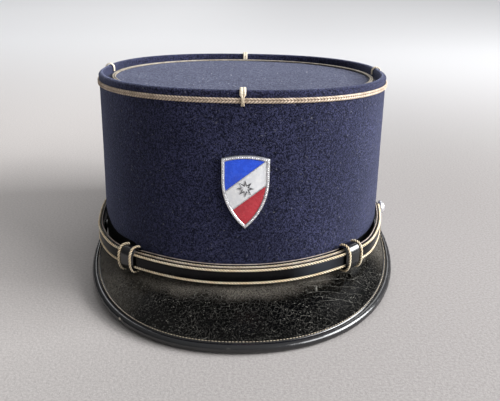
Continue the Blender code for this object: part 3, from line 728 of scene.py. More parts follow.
def crazed_leather():
    """Old lacquered leather: black where whole, finely crazed; brown near the strap and at its ends,
    partly dust and wear and partly a painted reflection; pale specks of dust and painted glints.
    """
    made = Finish("crazed_leather", specular_ior_level=0.08)
    warp = made.noise(110.0, output="Color")
    pulled = made.stretched((0.8, 0.5, 1.0), made.moved(0.010, warp))
    inputs = {"Vector": made.moved(0.003, warp), "Rotation": (0, 0, 0.16), "Scale": (5.5, 1.0, 1.0)}
    drawn = made.add("ShaderNodeMapping", inputs, vector_type="TEXTURE")
    across, along = made.along(0, made.uv()), made.along(1, made.uv())
    patches = made.noise(46, 3.0, 0.6)
    blotch = made.noise(620, 3.0, 0.7)
    grain = made.noise(1700, 2.0, 0.6)

    near_place = made.near(made.away_from(CRACKED_PLACE), 12 * MM, 20 * MM)
    strained = made.most(near_place, made.between(made.noise(70), 0.60, 0.66, 0.0, 0.6))
    long_line = made.near(made.cells(190, drawn, sides="2D"), 0.0, 0.027)
    long_line = made.times(long_line, strained)
    web_line = made.near(made.cells(600, pulled, sides="2D"), 0.0, 0.055)
    web_line = made.times(web_line, made.between(patches, 0.43, 0.63, 0.04, 0.54))
    web_line = made.times(web_line, made.near(near_place, 0.0, 1.0, 1.0, 0.4))
    fine_line = made.near(made.cells(1150, pulled, sides="2D"), 0.0, 0.12)
    fine_line = made.times(fine_line, made.between(blotch, 0.46, 0.60, 0.0, 0.30))
    lines = made.most(web_line, fine_line, long_line)
    broken = made.times(lines, made.between(grain, 0.43, 0.55, 0.14, 1.0))

    # Lighter brown-grey near the strap and at both ends of the peak: partly dust and wear, and partly a
    # painted reflection of the light.
    near = made.plus(along, patches, 0.5)
    near = made.plus(near, made.between(across, 0.52, 0.74, 0.0, 0.16))
    sideways = made.plus(across, patches, 0.1)
    near_left = made.near(sideways, 0.19, 0.37)
    near_right = made.between(sideways, 0.90, 0.99, 0.0, 0.75)
    lightened = made.most(near_left, near_right, made.near(near, 0.34, 0.66))
    dust_and_painted_reflection = made.times(lightened, made.between(grain, 0.38, 0.62, 0.15, 1.0))
    dulled, whole = (0.0035, 0.0034, 0.0031), (0.0004, 0.0004, 0.0004)
    ground = made.mix(made.between(across, 0.34, 0.68), dulled, whole)
    ground = made.mix(dust_and_painted_reflection, ground, (0.150, 0.135, 0.114))
    rough = made.between(made.plus(blotch, grain, 0.6), 0.90, 1.08)
    ground = made.mix(rough, ground, (0.024, 0.0225, 0.020))
    cracked = made.mix(broken, ground, (0.23, 0.22, 0.195))
    # Pale specks: partly dust, partly painted glints of light on the lacquer.
    speck = made.near(made.cells(700, feature="F1"), 0.12, 0.22)
    dust_and_painted_glints = made.times(speck, made.between(made.noise(260, 2.0), 0.52, 0.62, 0.0, 0.8))
    colour = made.mix(dust_and_painted_glints, cracked, (0.27, 0.26, 0.23))
    relief = made.maths("SUBTRACT", made.times(made.plus(blotch, grain), 0.6), lines)
    glossy = made.between(made.plus(lines, blotch), 0.3, 1.3, 0.2, 0.5)
    return made.done(colour, relief, 0.07, 0.8, glossy)


def bright_metal(name, bright, tarnished):
    """Silvered brass, softly polished, with tarnish in its hollows."""
    made = Finish(name, metallic=0.85)
    cloud = made.noise(420, 4.0, 0.65)
    scratches = made.noise(500, 3.0, 0.7, made.stretched((1.0, 6.0, 1.0)))
    colour = made.mix(made.between(cloud, 0.45, 0.75), bright, tarnished)
    return made.done(colour, scratches, 0.06, 0.5, made.between(cloud, 0.3, 0.7, 0.22, 0.42))


def enamel(name, deep, pale):
    """Fired enamel: glassy, a little uneven in depth and in its colour."""
    made = Finish(name, coat_weight=0.25, coat_roughness=0.05)
    depth = made.noise(330, 3.0, 0.6)
    colour = made.mix(made.between(depth, 0.35, 0.7), deep, pale)
    rough = made.between(depth, 0.3, 0.7, 0.18, 0.32)
    return made.done(colour, made.noise(160, 1.0), 0.15, 0.3, rough)


def floor_paper():
    """Pale paper with painted light and shade: greyer on the window's side, darker at the front left,
    lighter beside the cap on the left and towards the back.
    """
    made = Finish("floor_paper", roughness=0.85, specular_ior_level=0.3)
    grain = made.noise(700, 3.0, 0.7)
    spread = made.between(grain, 0.25, 0.75)
    # Painted light and shade on the floor: on the left it is darker at the front and lighter beside the
    # cap, softening the cap's shadow; the window's side is darker; both grow lighter towards the back.
    away = made.along(1)
    front = made.mix(spread, (0.39, 0.365, 0.350), (0.50, 0.470, 0.452))
    beside = made.mix(spread, (0.54, 0.505, 0.484), (0.68, 0.639, 0.614))
    left = made.mix(made.between(away, -0.19, 0.0), front, beside)
    left = made.mix(made.between(away, 0.15, 1.15), left, (0.87, 0.865, 0.87))
    right = made.mix(spread, (0.27, 0.252, 0.244), (0.365, 0.341, 0.329))
    right = made.mix(made.between(away, 0.05, 0.95), right, (0.74, 0.735, 0.74))
    colour = made.mix(made.between(made.along(0), -0.26, 0.20), left, right)
    return made.done(colour, grain, 0.3, 0.6)


WOOL = wool_felt(
    "navy_felt", (0.002, 0.0025, 0.009), (0.045, 0.048, 0.106), (0.18, 0.18, 0.21), 0.34, painted_shade_line=True
)
# Near-black felt without sheen: painted shade for the wool below the strap's shade line.
SHADE_BEHIND_STRAP = (0.0003, 0.0003, 0.0004), (0.0012, 0.0012, 0.002), (0.002, 0.002, 0.003)
PAINTED_SHADE_WOOL = wool_felt("navy_felt_painted_shade", *SHADE_BEHIND_STRAP, 0.0)
# The top is the wall's navy felt painted lighter and greyer, standing in for the light that falls on the
# top.
TOP_PAINTED_LIGHTER = (0.009, 0.009, 0.019), (0.101, 0.104, 0.142), (0.40, 0.40, 0.42)
TOP_WOOL = wool_felt("navy_felt_top_painted_lighter", *TOP_PAINTED_LIGHTER, 0.18, (0.72, 0.32, 1.0))
BRAID = gold_thread("gilt_braid", (0.74, 0.60, 0.47), (0.44, 0.34, 0.25), (0.13, 0.09, 0.06))
TOP_BRAID = gold_thread("gilt_braid_dull", (0.52, 0.46, 0.37), (0.27, 0.23, 0.18), (0.10, 0.08, 0.06))
TAB = gold_thread("gilt_tab", (0.84, 0.75, 0.59), (0.56, 0.45, 0.32))
CORD = gold_thread("gilt_cord", (1.0, 0.87, 0.64), (0.86, 0.67, 0.43), (0.10, 0.06, 0.03))
PIPING = gold_thread("pale_piping", (0.52, 0.44, 0.39), (0.31, 0.25, 0.21))
THREAD = gold_thread("tan_thread", (0.50, 0.42, 0.30), (0.26, 0.21, 0.15))
CHIP_PLACE = (-61.6 * MM, -102.2 * MM, 4.2 * MM)
CRACKED_PLACE = (50.0 * MM, -78.5 * MM, 12.0 * MM)
# Where the window's reflection is painted on the strap near the right loop.
REFLECTION_SPOT_ON_STRAP = (46.0 * MM, -84.0 * MM, 18.0 * MM)
PATENT = patent_leather(
    "patent_strap", (0.0012, 0.0012, 0.0016), (0.016, 0.016, 0.018), 0.64, 0.20, 0.26, painted_reflection=REFLECTION_SPOT_ON_STRAP
)
KEEPER = patent_leather("patent_keeper", (0.003, 0.003, 0.004), (0.024, 0.024, 0.026), 0.62, 0.85, 0.20)
BOUND = patent_leather(
    "patent_binding", (0.003, 0.003, 0.004), (0.036, 0.034, 0.030), 0.60, 0.85, 0.21, chip=CHIP_PLACE
)
CRAZED = crazed_leather()
METAL = bright_metal("silvered_metal", (0.86, 0.86, 0.88), (0.42, 0.42, 0.44))
DARK_METAL = bright_metal("oxidised_silver", (0.30, 0.30, 0.31), (0.12, 0.12, 0.13))
BLUE = enamel("blue_enamel_fired", (0.017, 0.080, 0.68), (0.023, 0.105, 0.80))
WHITE = enamel("white_enamel_fired", (0.84, 0.85, 0.87), (0.93, 0.93, 0.93))
RED = enamel("red_enamel_fired", (0.53, 0.032, 0.050), (0.62, 0.048, 0.066))


# ---------------- crown


def turn_and_out(points):
    """Turn and distance out of points modelled on the plain round."""
    return np.arctan2(points[:, 0], -points[:, 1]), np.hypot(points[:, 0], points[:, 1]) - ROUND


def make_crown():
    """The wool wall: a cylinder hollowed from below, its rim rolled over a cord."""
    bpy.ops.mesh.primitive_cylinder_add(
        vertices=CROWN_SIDES, radius=ROUND, depth=BASE_DEPTH, location=(0, 0, -BASE_DEPTH / 2)
    )
    crown = begin("crown_felt")
    edit(crown)
    pick(crown, "faces", lambda face: face.normal.z < -0.9)
    bpy.ops.mesh.inset(thickness=WALL)
    extrude((0, 0, BASE_DEPTH - LIP_DEPTH - LIP_TAPER))
    bpy.ops.mesh.delete(type="FACE")
    pick(crown, "faces", lambda face: face.normal.z > 0.9)
    bpy.ops.mesh.inset(thickness=2 * ROLL)
    extrude((0, 0, -LIP_DEPTH))
    bpy.ops.mesh.delete(type="FACE")
    pick(crown, "edges", lambda edge: edge.is_boundary)
    bpy.ops.mesh.bridge_edge_loops()
    pick(crown, "edges", spans("z", BASE_DEPTH / 2))
    bpy.ops.mesh.subdivide(number_cuts=WALL_CUTS)
    pick(crown, "edges", on_ring(0.0))
    bevel(0.96 * ROLL, 7)
    pick(crown, "edges", on_ring(-BASE_DEPTH))
    bevel(0.6 * MM, 3)
    face_outwards()
    leave()

    points = points_of(crown)
    turn, out = turn_and_out(points)
    outer = out > -0.5 * MM
    # A row of the wall is moved onto the shade line, so that the painted shade below it ends along that
    # line.
    turns, rises = np.array(SHADE_LINE_TABLE).T
    painted_shade_line = np.interp(turn / DEG, turns, rises) * MM
    row = np.clip(painted_shade_line, 6 * MM, None)
    rise = points[:, 2] + BASE_DEPTH
    above = row + (rise - SHADE_LINE_ROW) * (SHADE_LINE_ROW_REACH - row) / (SHADE_LINE_ROW_REACH - SHADE_LINE_ROW)
    moved = np.where(rise < SHADE_LINE_ROW_REACH, above, rise)
    moved = np.where(rise < SHADE_LINE_ROW, rise * row / SHADE_LINE_ROW, moved)
    z = np.where(outer, moved, rise) - BASE_DEPTH
    cord = held(1 - ((z + RIM_CORD_DEPTH) / RIM_CORD_REACH) ** 2)
    out = out + np.where(outer, RIM_CORD * cord, 0.0)
    steady = held((-z - WAVES_FROM) / WAVES_FULL) * held((z + BASE_DEPTH) / WAVES_EDGE)
    at = on_crown(turn, out, z)
    out = out + steady * uneven(at, (0.28, 85, 3), (0.07, 21, 5))
    back = np.abs(np.abs(turn) - math.pi) * HALF_LENGTH
    seam = bell(back, SEAM_WIDTH) - 0.35 * bell(back - SEAM_RIDGE, SEAM_RIDGE_WIDTH)
    out = out - np.where(outer & (z < -4 * MM), SEAM_DEPTH * seam, 0.0)
    z = z + cord * uneven(at, (0.12, 34, 8))
    at = on_crown(turn, out, z)
    low = held((-LEVEL_FROM - z) / (BASE_DEPTH - LEVEL_FROM))
    at[:, 2] += low * (base_z(at[:, 0], at[:, 1]) + BASE_DEPTH)
    mould(crown, to_world(at))
    # Painted shade: faces at or below the shade line take the near-black felt, and the wool's colour
    # darkens just above the line.
    below = np.where(outer, (painted_shade_line - z - BASE_DEPTH) / MM, -9.0)
    keep_shade(crown, below)
    wear(crown, WOOL, "crown_wool", "crown_side", sharp=60)
    crown.data.materials.append(PAINTED_SHADE_WOOL)
    for face in crown.data.polygons:
        face.material_index = int(min(below[vert] for vert in face.vertices) > -0.01)


def make_crown_top():
    """The sunken top: a disc of cloth over board, drawn a little uneven."""
    bpy.ops.mesh.primitive_cylinder_add(
        vertices=CROWN_SIDES, radius=TOP_ROUND, depth=2 * MM, location=(0, 0, -TOP_DEPTH - 1 * MM)
    )
    disc = begin("crown_top_felt")
    edit(disc)
    pick(disc, "faces", lambda face: face.normal.z > 0.9)
    for width in TOP_RINGS:
        bpy.ops.mesh.inset(thickness=width * MM)
    leave()
    points = points_of(disc)
    turn, out = turn_and_out(points)
    share = (out + ROUND) / TOP_ROUND
    rim = on_crown(turn, -2 * ROLL - 0.25 * MM, -TOP_DEPTH)
    at = np.stack((rim[:, 0] * share, rim[:, 1] * share, points[:, 2]), axis=1)
    upper = points[:, 2] > -TOP_DEPTH - 0.5 * MM
    waves = uneven(at, (0.22, 75, 12), (0.08, 24, 13)) * held((1 - share) * 20)
    edge = bell((1 - share) * HALF_WIDTH, 1.6 * MM)
    at[:, 2] += np.where(upper, waves - 0.5 * MM * edge, 0.0)
    mould(disc, to_world(at))
    wear(disc, TOP_WOOL, "top_wool", "crown_top", sharp=60)


def make_braid(name, lay, middle, apart, size, cuts, pitch, finish, node):
    """Soutache: two ribs wound with thread that leans the other way on each rib."""
    ribs = []
    for number, sign in enumerate((1, -1)):
        out, z = middle[0] + sign * apart[0], middle[1] + sign * apart[1]
        bpy.ops.mesh.primitive_torus_add(
            major_segments=240, minor_segments=12, major_radius=ROUND + out, minor_radius=1 * MM,
            location=(0, 0, z),
        )
        rib = begin(f"{name}_{number}")
        edit(rib)
        pick(rib, "edges", runs_round)
        bpy.ops.mesh.subdivide(number_cuts=cuts)
        leave()
        points = points_of(rib)
        turn, reach = turn_and_out(points)
        across, rise = reach - out, points[:, 2] - z
        length = np.interp(turn, FINE_TURNS, RIM_LENGTHS) / RIM_LENGTHS[-1]
        turns = round(RIM_LENGTHS[-1] * 2 / pitch)
        wound = np.cos(math.pi * turns * length + 2 * sign * np.arctan2(rise, across))
        swell = 1 + 0.13 * wound
        at = lay(turn, out + across * size[0] * swell, z + rise * size[1] * swell)
        mould(rib, to_world(at))
        # The winding's phase, for the painted shade between the turns.
        keep_shade(rib, wound)
        ribs.append(rib)
    wear(join(name, ribs), finish, "gold_braid", node, sharp=80)


TAB_HALF_WIDTH = 1.6
TAB_INNER_END = ((-2.1 * MM, TAB_HALF_WIDTH), (-1.0 * MM, TAB_HALF_WIDTH))
TAB_TAIL = (
    # out, rise and half width of the front tab in millimetres, from the roll down to its end
    (0.0, -0.7, 1.55),
    (0.1, -1.2, 1.25),
    (0.4, -1.8, 0.8),
    (0.65, -2.6, 0.7),
    (0.75, -3.6, 0.7),
    (0.6, -4.5, 0.75),
    (0.1, -5.3, 0.85),
    (-0.35, -6.0, 1.0),
)


def make_tab(side, turn, shift):
    """A flat braid of two ribs over the roll; the front one is pinched to two threads."""
    over, step, pitch = ROLL + 0.75 * MM, 0.22 * MM, 1.3 * MM
    plan = [(-over, *end) for end in TAB_INNER_END]
    for angle in np.linspace(math.pi, 0.0, 24):
        plan.append((over * math.cos(angle), over * math.sin(angle), TAB_HALF_WIDTH))
    if side == "front":
        plan += [(over + out * MM, z * MM, half) for out, z, half in TAB_TAIL]
    else:
        plan += [(over, -1.0 * MM, TAB_HALF_WIDTH), (over, -2.0 * MM, TAB_HALF_WIDTH)]
    run, _ = evenly(np.array(plan) * (1, 1, MM), step)
    spot = on_crown(turn, -ROLL, -ROLL)
    outward = unit(on_crown(turn, 1.0, 0.0) - on_crown(turn, 0.0, 0.0))
    sideways = np.array((-outward[1], outward[0], 0.0))
    ahead = unit(np.gradient(run[:, :2], axis=0))
    tab = add_grid(f"rim_tab_{side}_plait", len(run) - 1, 16)
    u, v = spots_of(tab)
    row = np.round(u * (len(run) - 1)).astype(int)
    out, z, half = run[row].T
    across = 2 * v - 1
    rib = 1 - (2 * np.abs(across) - 1) ** 2
    wound = np.cos(FULL_TURN * (row * step / pitch + 0.9 * np.abs(across)))
    lift = (0.10 + (0.34 + 0.05 * wound) * np.sqrt(np.maximum(rib, 0.0))) * MM
    out, z = out - ahead[row, 1] * lift, z + ahead[row, 0] * lift
    at = spot + (shift + across * half)[:, None] * sideways + out[:, None] * outward
    at[:, 2] += z
    mould(tab, to_world(at))
    keep_shade(tab, wound)
    thicken(tab, 0.4 * MM, -1.0, even=False)
    wear(tab, TAB, "gold_braid", f"rim_tab_{side}", sharp=80)


# ---------------- visor


def make_visor():
    """The leather peak, laid on its middle surface and given its thickness."""
    visor = add_grid("visor_leather_peak", 220, 44)
    u, v = spots_of(visor)
    share = 2 * u - 1
    depth = np.linalg.norm(visor_point(share, 1.0) - visor_point(share, 0.0), axis=1)
    at = visor_point(share, v * (1 - LEATHER_STOP / depth))
    at[:, 2] += held(v * 12) * held((1 - v) * 9) * uneven(at, (0.22, 46, 21), (0.07, 12, 22))
    mould(visor, at)
    thicken(visor, VISOR_THICKNESS, 0.0)
    wear(visor, CRAZED, "visor_leather", "visor")


def binding_frame(share):
    """Middle, outward and upward directions of the bound edge."""
    here = visor_edge(share)
    ahead = unit(visor_edge(np.minimum(share + 0.01, 1.0)) - visor_edge(np.maximum(share - 0.01, -1.0)))
    leather = np.clip(share / LEATHER_SHARE, -1.0, 1.0)
    outward = visor_point(leather, 1.0) - visor_point(leather, 0.85)
    outward = unit(outward - np.sum(outward * ahead, axis=-1)[..., None] * ahead)
    up = np.cross(outward, ahead)
    up *= np.sign(up[..., 2])[..., None]
    return here, ahead, outward, up


BINDING_PROFILE = (
    # out, rise in millimetres, from the upper lip's inner edge to the crease
    (-3.25, 1.02),
    (-3.20, 1.36),
    (-2.95, 1.50),
    (-2.40, 1.49),
    (-2.05, 1.34),
    (-1.80, 1.18),
    (-1.62, 1.50),
)


BINDING_ARC, BINDING_WALL, NICK_SHARE, NICK_WIDTH = 126, 0.35 * MM, -0.388, 0.006


def make_binding():
    """Patent strip folded round the peak's edge, its lips sewn down behind a crease."""
    upper = np.array(BINDING_PROFILE) * MM
    angles = np.linspace(BINDING_ARC, -BINDING_ARC, 23) * DEG
    arc = BINDING_RADIUS * np.stack((np.cos(angles), np.sin(angles)), axis=1)
    lower = upper[::-1] * (1, -1)
    profile = np.concatenate((upper, arc, lower))
    strip = add_grid("visor_bound_edge", 360, len(profile) - 1)
    u, v = spots_of(strip)
    share = 2 * u - 1
    here, _, outward, up = binding_frame(share)
    row = np.round(v * (len(profile) - 1)).astype(int)
    out, rise = profile[row].T
    thin = binding_radius(share) / BINDING_RADIUS
    end = held((1 - np.abs(share)) / 0.02) ** 0.5
    out = np.where(out < 0, out * np.clip((1 - np.abs(share)) / 0.1, 0.25, 1.0), out)
    wavy = 1 - 0.03 * np.abs(ripple(here, 16 * MM, 31)) - 0.02 * np.abs(ripple(here, 6 * MM, 32))
    nick = bell(share - NICK_SHARE, NICK_WIDTH)
    size = thin * wavy * (0.3 + 0.7 * end) * np.where(out > 0.8 * MM, 1 - 0.2 * nick, 1.0)
    mould(strip, here + (out * size)[:, None] * outward + (rise * size)[:, None] * up)
    thicken(strip, BINDING_WALL, 1.0)
    wear(strip, BOUND, "patent_leather", "visor_binding", sharp=50)


def make_stitches():
    """The lip's sewing: one waxed stitch after another, a little above the strip."""
    bpy.ops.mesh.primitive_uv_sphere_add(segments=8, ring_count=6, radius=1 * MM)
    bpy.ops.transform.resize(value=STITCH_SIZE)
    stitch = begin("stitch")
    shares = np.linspace(-LEATHER_SHARE, LEATHER_SHARE, 2001)
    lengths = travelled(binding_frame(shares)[0])
    places = []
    for number, length in enumerate(np.arange(0.0, lengths[-1], STITCH_STEP)):
        share = np.interp(length, lengths, shares)
        middle, ahead, outward, up = (row[0] for row in binding_frame(np.array([share])))
        lean = Matrix.Rotation(STITCH_LEANS[number % 2], 4, "Z")
        place = Matrix((ahead, outward, up)).transposed().to_4x4() @ lean
        thin = binding_radius(share) / BINDING_RADIUS
        place.translation = middle + (up * STITCH_UP - outward * STITCH_IN) * thin
        places.append(place)
    wear(scatter("visor_stitches", stitch, places), THREAD, "gold_cord")


# ---------------- strap


def make_strap(side):
    """One leather layer: a long bar cut into short lengths, its edges eased, then laid."""
    stem = f"strap_{SIDES[side]}"
    far = base_length(LOOP_TURN) + LOOP_HALF_WIDTH + STRAP_PAST_LOOP
    button = base_length(BUTTON_TURNS[side])
    end = button + STRAP_TAIL
    bpy.ops.mesh.primitive_cube_add(size=1.0, location=((end - far) / 2, STRAP_SHOULDER / 2, 0))
    bpy.ops.transform.resize(value=(far + end, STRAP_SHOULDER, 2 * STRAP_HALF_HEIGHT))
    strap = begin(f"strap_leather_{SIDES[side]}")
    edit(strap)
    long_edge = spans("x", end)
    pick(strap, "edges", long_edge)
    bevel(0.25 * MM, 2)
    pick(strap, "faces", lambda face: face.normal.y > 0.95)
    bpy.ops.mesh.inset(thickness=0.95 * MM)
    extrude((0, STRAP_THICKNESS - STRAP_SHOULDER, 0))
    top = STRAP_THICKNESS - 0.01 * MM
    pick(strap, "edges", lambda edge: long_edge(edge) and min(vert.co.y for vert in edge.verts) > top)
    bevel(0.6 * MM, 4)
    pick(strap, "edges", long_edge)
    bpy.ops.mesh.subdivide(number_cuts=STRAP_CUTS)
    leave()
    points = points_of(strap)
    along, out, rise = points.T
    tail = np.clip((along - (end - STRAP_HALF_HEIGHT)) / STRAP_HALF_HEIGHT, 0.0, 0.985)
    rise = rise * np.sqrt(1 - tail**2)
    at = strap_place(ROUTES[side], side * base_turn(along), out, rise)
    steady = held((end - 12 * MM - along) / (20 * MM))
    at[:, :2] *= (1 + 0.0009 * steady * ripple(at, 38 * MM, 41 + side))[:, None]
    mould(strap, to_world(at))
    close_up(strap)
    wear(strap, PATENT, "patent_leather", stem, sharp=35)

    turns = side * base_turn(np.linspace(-far, button - CORD_STOP, 500))
    for edge, sign in (("top", 1), ("bottom", -1)):
        path = to_world(strap_place(ROUTES[side], turns, CORD_OUT, sign * CORD_RISE))
        add_cord(f"{stem}_gilt_{edge}", path, f"{stem}_cord_{edge}")
    path = to_world(strap_place(ROUTES[side], turns, PIPING_OUT, STRAP_HALF_HEIGHT + PIPING_RISE))
    plies = twisted(path, PIPING_TWIST, 1.6 * MM)
    piping = add_rope(f"{stem}_piping", plies, PIPING_RADIUS, 6)
    wear(piping, PIPING, "gold_cord", sharp=80)


def loop_frame(turn):
    """Back, front, bottom and top of the space that a loop leaves for both layers."""
    front_rise, front_gap = smooth_rows(RIGHT_STRAP_ROUTE, turn)
    back_rise, back_gap = smooth_rows(LEFT_STRAP_ROUTE, turn)
    cord_face = STRAP_THICKNESS - STRAP_SHOULDER + 0.3 * MM + 1.1 * MM
    return (
        back_gap - LOOP_CLEARANCE,
        front_gap + cord_face + LOOP_CLEARANCE,
        np.minimum(front_rise, back_rise) - STRAP_HALF_HEIGHT - LOOP_CLEARANCE,
        np.maximum(front_rise, back_rise) + STRAP_HALF_HEIGHT + LOOP_CLEARANCE,
    )


def in_loop(side, along, angle, skin):
    """Place on a loop's rounded section: round it by an angle, at a skin out from its hollow."""
    turn = base_turn(side * base_length(LOOP_TURN) + along)
    back, front, bottom, top = loop_frame(turn)
    deep, high = (front - back) / 2 + skin, (top - bottom) / 2 + skin
    lean, stand = np.cos(angle), np.sin(angle)
    out = (back + front) / 2 + deep * raised(lean, LOOP_SQUARE)
    up = (bottom + top) / 2 + high * raised(stand, LOOP_SQUARE)
    return to_world(above_base(turn, out, up))


def make_loop(side):
    """A leather keeper: a sleeve drawn round both straps, with two cords round its front."""
    stem = f"loop_{SIDES[side]}"
    bpy.ops.mesh.primitive_cylinder_add(
        vertices=72, radius=1.0, depth=2 * LOOP_HALF_WIDTH, end_fill_type="NOTHING"
    )
    bpy.ops.transform.rotate(value=90 * DEG, orient_axis="Y", center_override=(0, 0, 0))
    loop = begin(stem + "_keeper")
    edit(loop)
    pick(loop, "edges", spans("x", LOOP_HALF_WIDTH))
    bpy.ops.mesh.subdivide(number_cuts=15)
    leave()
    points = points_of(loop)
    along = points[:, 0] / LOOP_HALF_WIDTH
    eased = np.sqrt(1 - held((np.abs(along) - 0.84) / 0.16) ** 2)
    angle = np.arctan2(points[:, 2], points[:, 1])
    full = 0.22 * MM * (1 - along**2) + 0.9 * MM * np.abs(np.sin(angle)) ** 6
    skin = LOOP_THICKNESS * (0.45 + 0.55 * eased) + full
    mould(loop, in_loop(side, points[:, 0], angle, skin))
    edit(loop)
    face_outwards()
    leave()
    thicken(loop, LOOP_WALL, -1.0)
    wear(loop, KEEPER, "patent_leather", stem, sharp=50)

    angles = np.linspace(112, -108, 90) * DEG
    proud = (0.42 + 0.9 * np.abs(np.sin(angles)) ** 6) * MM
    for edge, sign in (("first", -1), ("second", 1)):
        steps = np.full(len(angles), sign * (LOOP_HALF_WIDTH - LOOP_CORD_INSET))
        path = in_loop(side, steps, angles, LOOP_THICKNESS + proud)
        add_cord(f"{stem}_gilt_{edge}", path, f"{stem}_cord_{edge}")


BUTTON_PROFILE = (
    # radius, height above the seat in millimetres
    (0.02, 4.25),
    (1.2, 4.12),
    (2.3, 3.72),
    (3.2, 3.08),
    (3.75, 2.42),
    (3.9, 2.06),
    (4.12, 1.98),
    (4.48, 1.7),
    (4.62, 1.2),
    (4.5, 0.6),
    (4.1, 0.1),
    (3.4, -0.02),
    (1.3, 0.0),
    (1.3, -2.6),
    (0.02, -2.6),
)


def make_button(side):
    """A silvered button spun from its profile: a dome in a raised rim, on a neck."""
    stem = f"button_{SIDES[side]}"
    bpy.ops.mesh.primitive_plane_add(size=1 * MM)
    button = begin(stem + "_spun")
    edit(button)
    bm = bmesh.from_edit_mesh(button.data)
    bmesh.ops.delete(bm, geom=bm.verts[:], context="VERTS")
    line = [bm.verts.new((radius * MM, 0, height * MM)) for radius, height in BUTTON_PROFILE]
    for first, last in zip(line, line[1:]):
        bm.edges.new((first, last))
    bmesh.update_edit_mesh(button.data)
    pick_all()
    bpy.ops.mesh.spin(steps=40, angle=FULL_TURN, center=(0, 0, 0), axis=(0, 0, 1))
    leave()
    close_up(button)
    turn = side * BUTTON_TURNS[side]
    middle, gap = smooth_rows(ROUTES[side], np.array(turn))
    seat = float(gap) + STRAP_THICKNESS + BUTTON_LIFT
    spot = above_base(turn, seat, middle)
    outward = above_base(turn, 1.0, middle) - above_base(turn, 0.0, middle)
    outward[2] = 0.0
    facing = Vector(outward).to_track_quat("Z", "Y").to_matrix().to_4x4()
    carry(button, CROWN @ Matrix.Translation(spot) @ facing)
    wear(button, METAL, "silver", stem, sharp=30)


# ---------------- badge

BADGE_HALF_WIDTH, BADGE_HEIGHT, BADGE_SHOULDER, BADGE_ARCH = 12.2 * MM, 37.0 * MM, 11.0 * MM, 1.6 * MM
BADGE_TOP_DEPTH, BADGE_SHIFT, BADGE_THICKNESS = 34.4 * MM, 2.6 * MM, 1.9 * MM
BADGE_RIM, BADGE_POCKET, FLUSH = 1.5 * MM, 1.0 * MM, 0.001 * MM
BAND_HALF_WIDTH, BAND_ANGLE, BAND_CENTRE, BAR_SIDE = 5.0 * MM, 38.0 * DEG, -15.5 * MM, 0.28 * MM
BAR_SIZE, UPPER_BAR_END, LOWER_BAR_END = (34 * MM, 0.5 * MM, 0.9 * MM), -11.0 * MM, -7.0 * MM
FIELD_GAP, FIELD_HEIGHT, FIELD_EASE = 0.12 * MM, 0.72 * MM, 0.18 * MM
STAR_POINT, STAR_NOTCH, STAR_HEIGHT, STAR_PEAK = 4.4 * MM, 2.0 * MM, 0.35 * MM, 0.75 * MM
BEAD_RADIUS, BEAD_INSET, BEAD_STEP = 0.34 * MM, 0.78 * MM, 1.02 * MM


def shield(inset, steps=16):
    """Outline of the shield, inset from its own edge; y runs down from the top."""
    half = BADGE_HALF_WIDTH - inset
    drop = BADGE_HEIGHT - BADGE_SHOULDER
    reach = (drop**2 - BADGE_HALF_WIDTH**2) / (2 * BADGE_HALF_WIDTH)
    radius = reach + BADGE_HALF_WIDTH - inset
    last = math.acos(reach / radius)
    angles = [last * i / steps for i in range(steps + 1)]
    right = [(half, -inset)]
    right += [(radius * math.cos(a) - reach, -BADGE_SHOULDER - radius * math.sin(a)) for a in angles]
    right[-1] = (0.0, right[-1][1])
    left = [(-x, y) for x, y in reversed(right[:-1])]
    shares = [-1 + 2 * i / 10 for i in range(1, 10)]
    return right + left + [(half * s, -inset + BADGE_ARCH * (1 - s * s)) for s in shares]


def badge_place():
    """From the badge's own frame, x right, y up its face and z out, to the world."""
    top, tip = on_crown(np.zeros(2), 0.0, np.array((-BADGE_TOP_DEPTH, -BADGE_TOP_DEPTH - BADGE_HEIGHT)))
    slope = math.atan2(tip[1] - top[1], BADGE_HEIGHT)
    upright = Matrix.Rotation(90 * DEG + slope, 4, "X")
    return CROWN @ Matrix.Translation((BADGE_SHIFT, top[1] - 0.3 * MM, -BADGE_TOP_DEPTH)) @ upright


def add_outline(name, outline, z):
    """A flat face with this outline, made from a round one with as many corners."""
    bpy.ops.mesh.primitive_circle_add(vertices=len(outline), radius=1 * MM, fill_type="NGON")
    piece = begin(name)
    order = np.argsort(-np.arctan2(*points_of(piece)[:, 1::-1].T), kind="stable")
    points = np.empty((len(outline), 3))
    points[order] = [(x, y, z) for x, y in outline]
    mould(piece, points)
    edit(piece)
    face_outwards()
    leave()
    return piece


def finish_flat(piece, height, ease):
    """Raise a flat outline to its height and ease its upper edge."""
    edit(piece)
    pick_all()
    extrude((0, 0, height))
    low = min(vert.co.z for vert in bmesh.from_edit_mesh(piece.data).verts)
    pick(piece, "edges", all_above(low + height - FLUSH))
    bevel(ease, 3)
    face_outwards()
    leave()


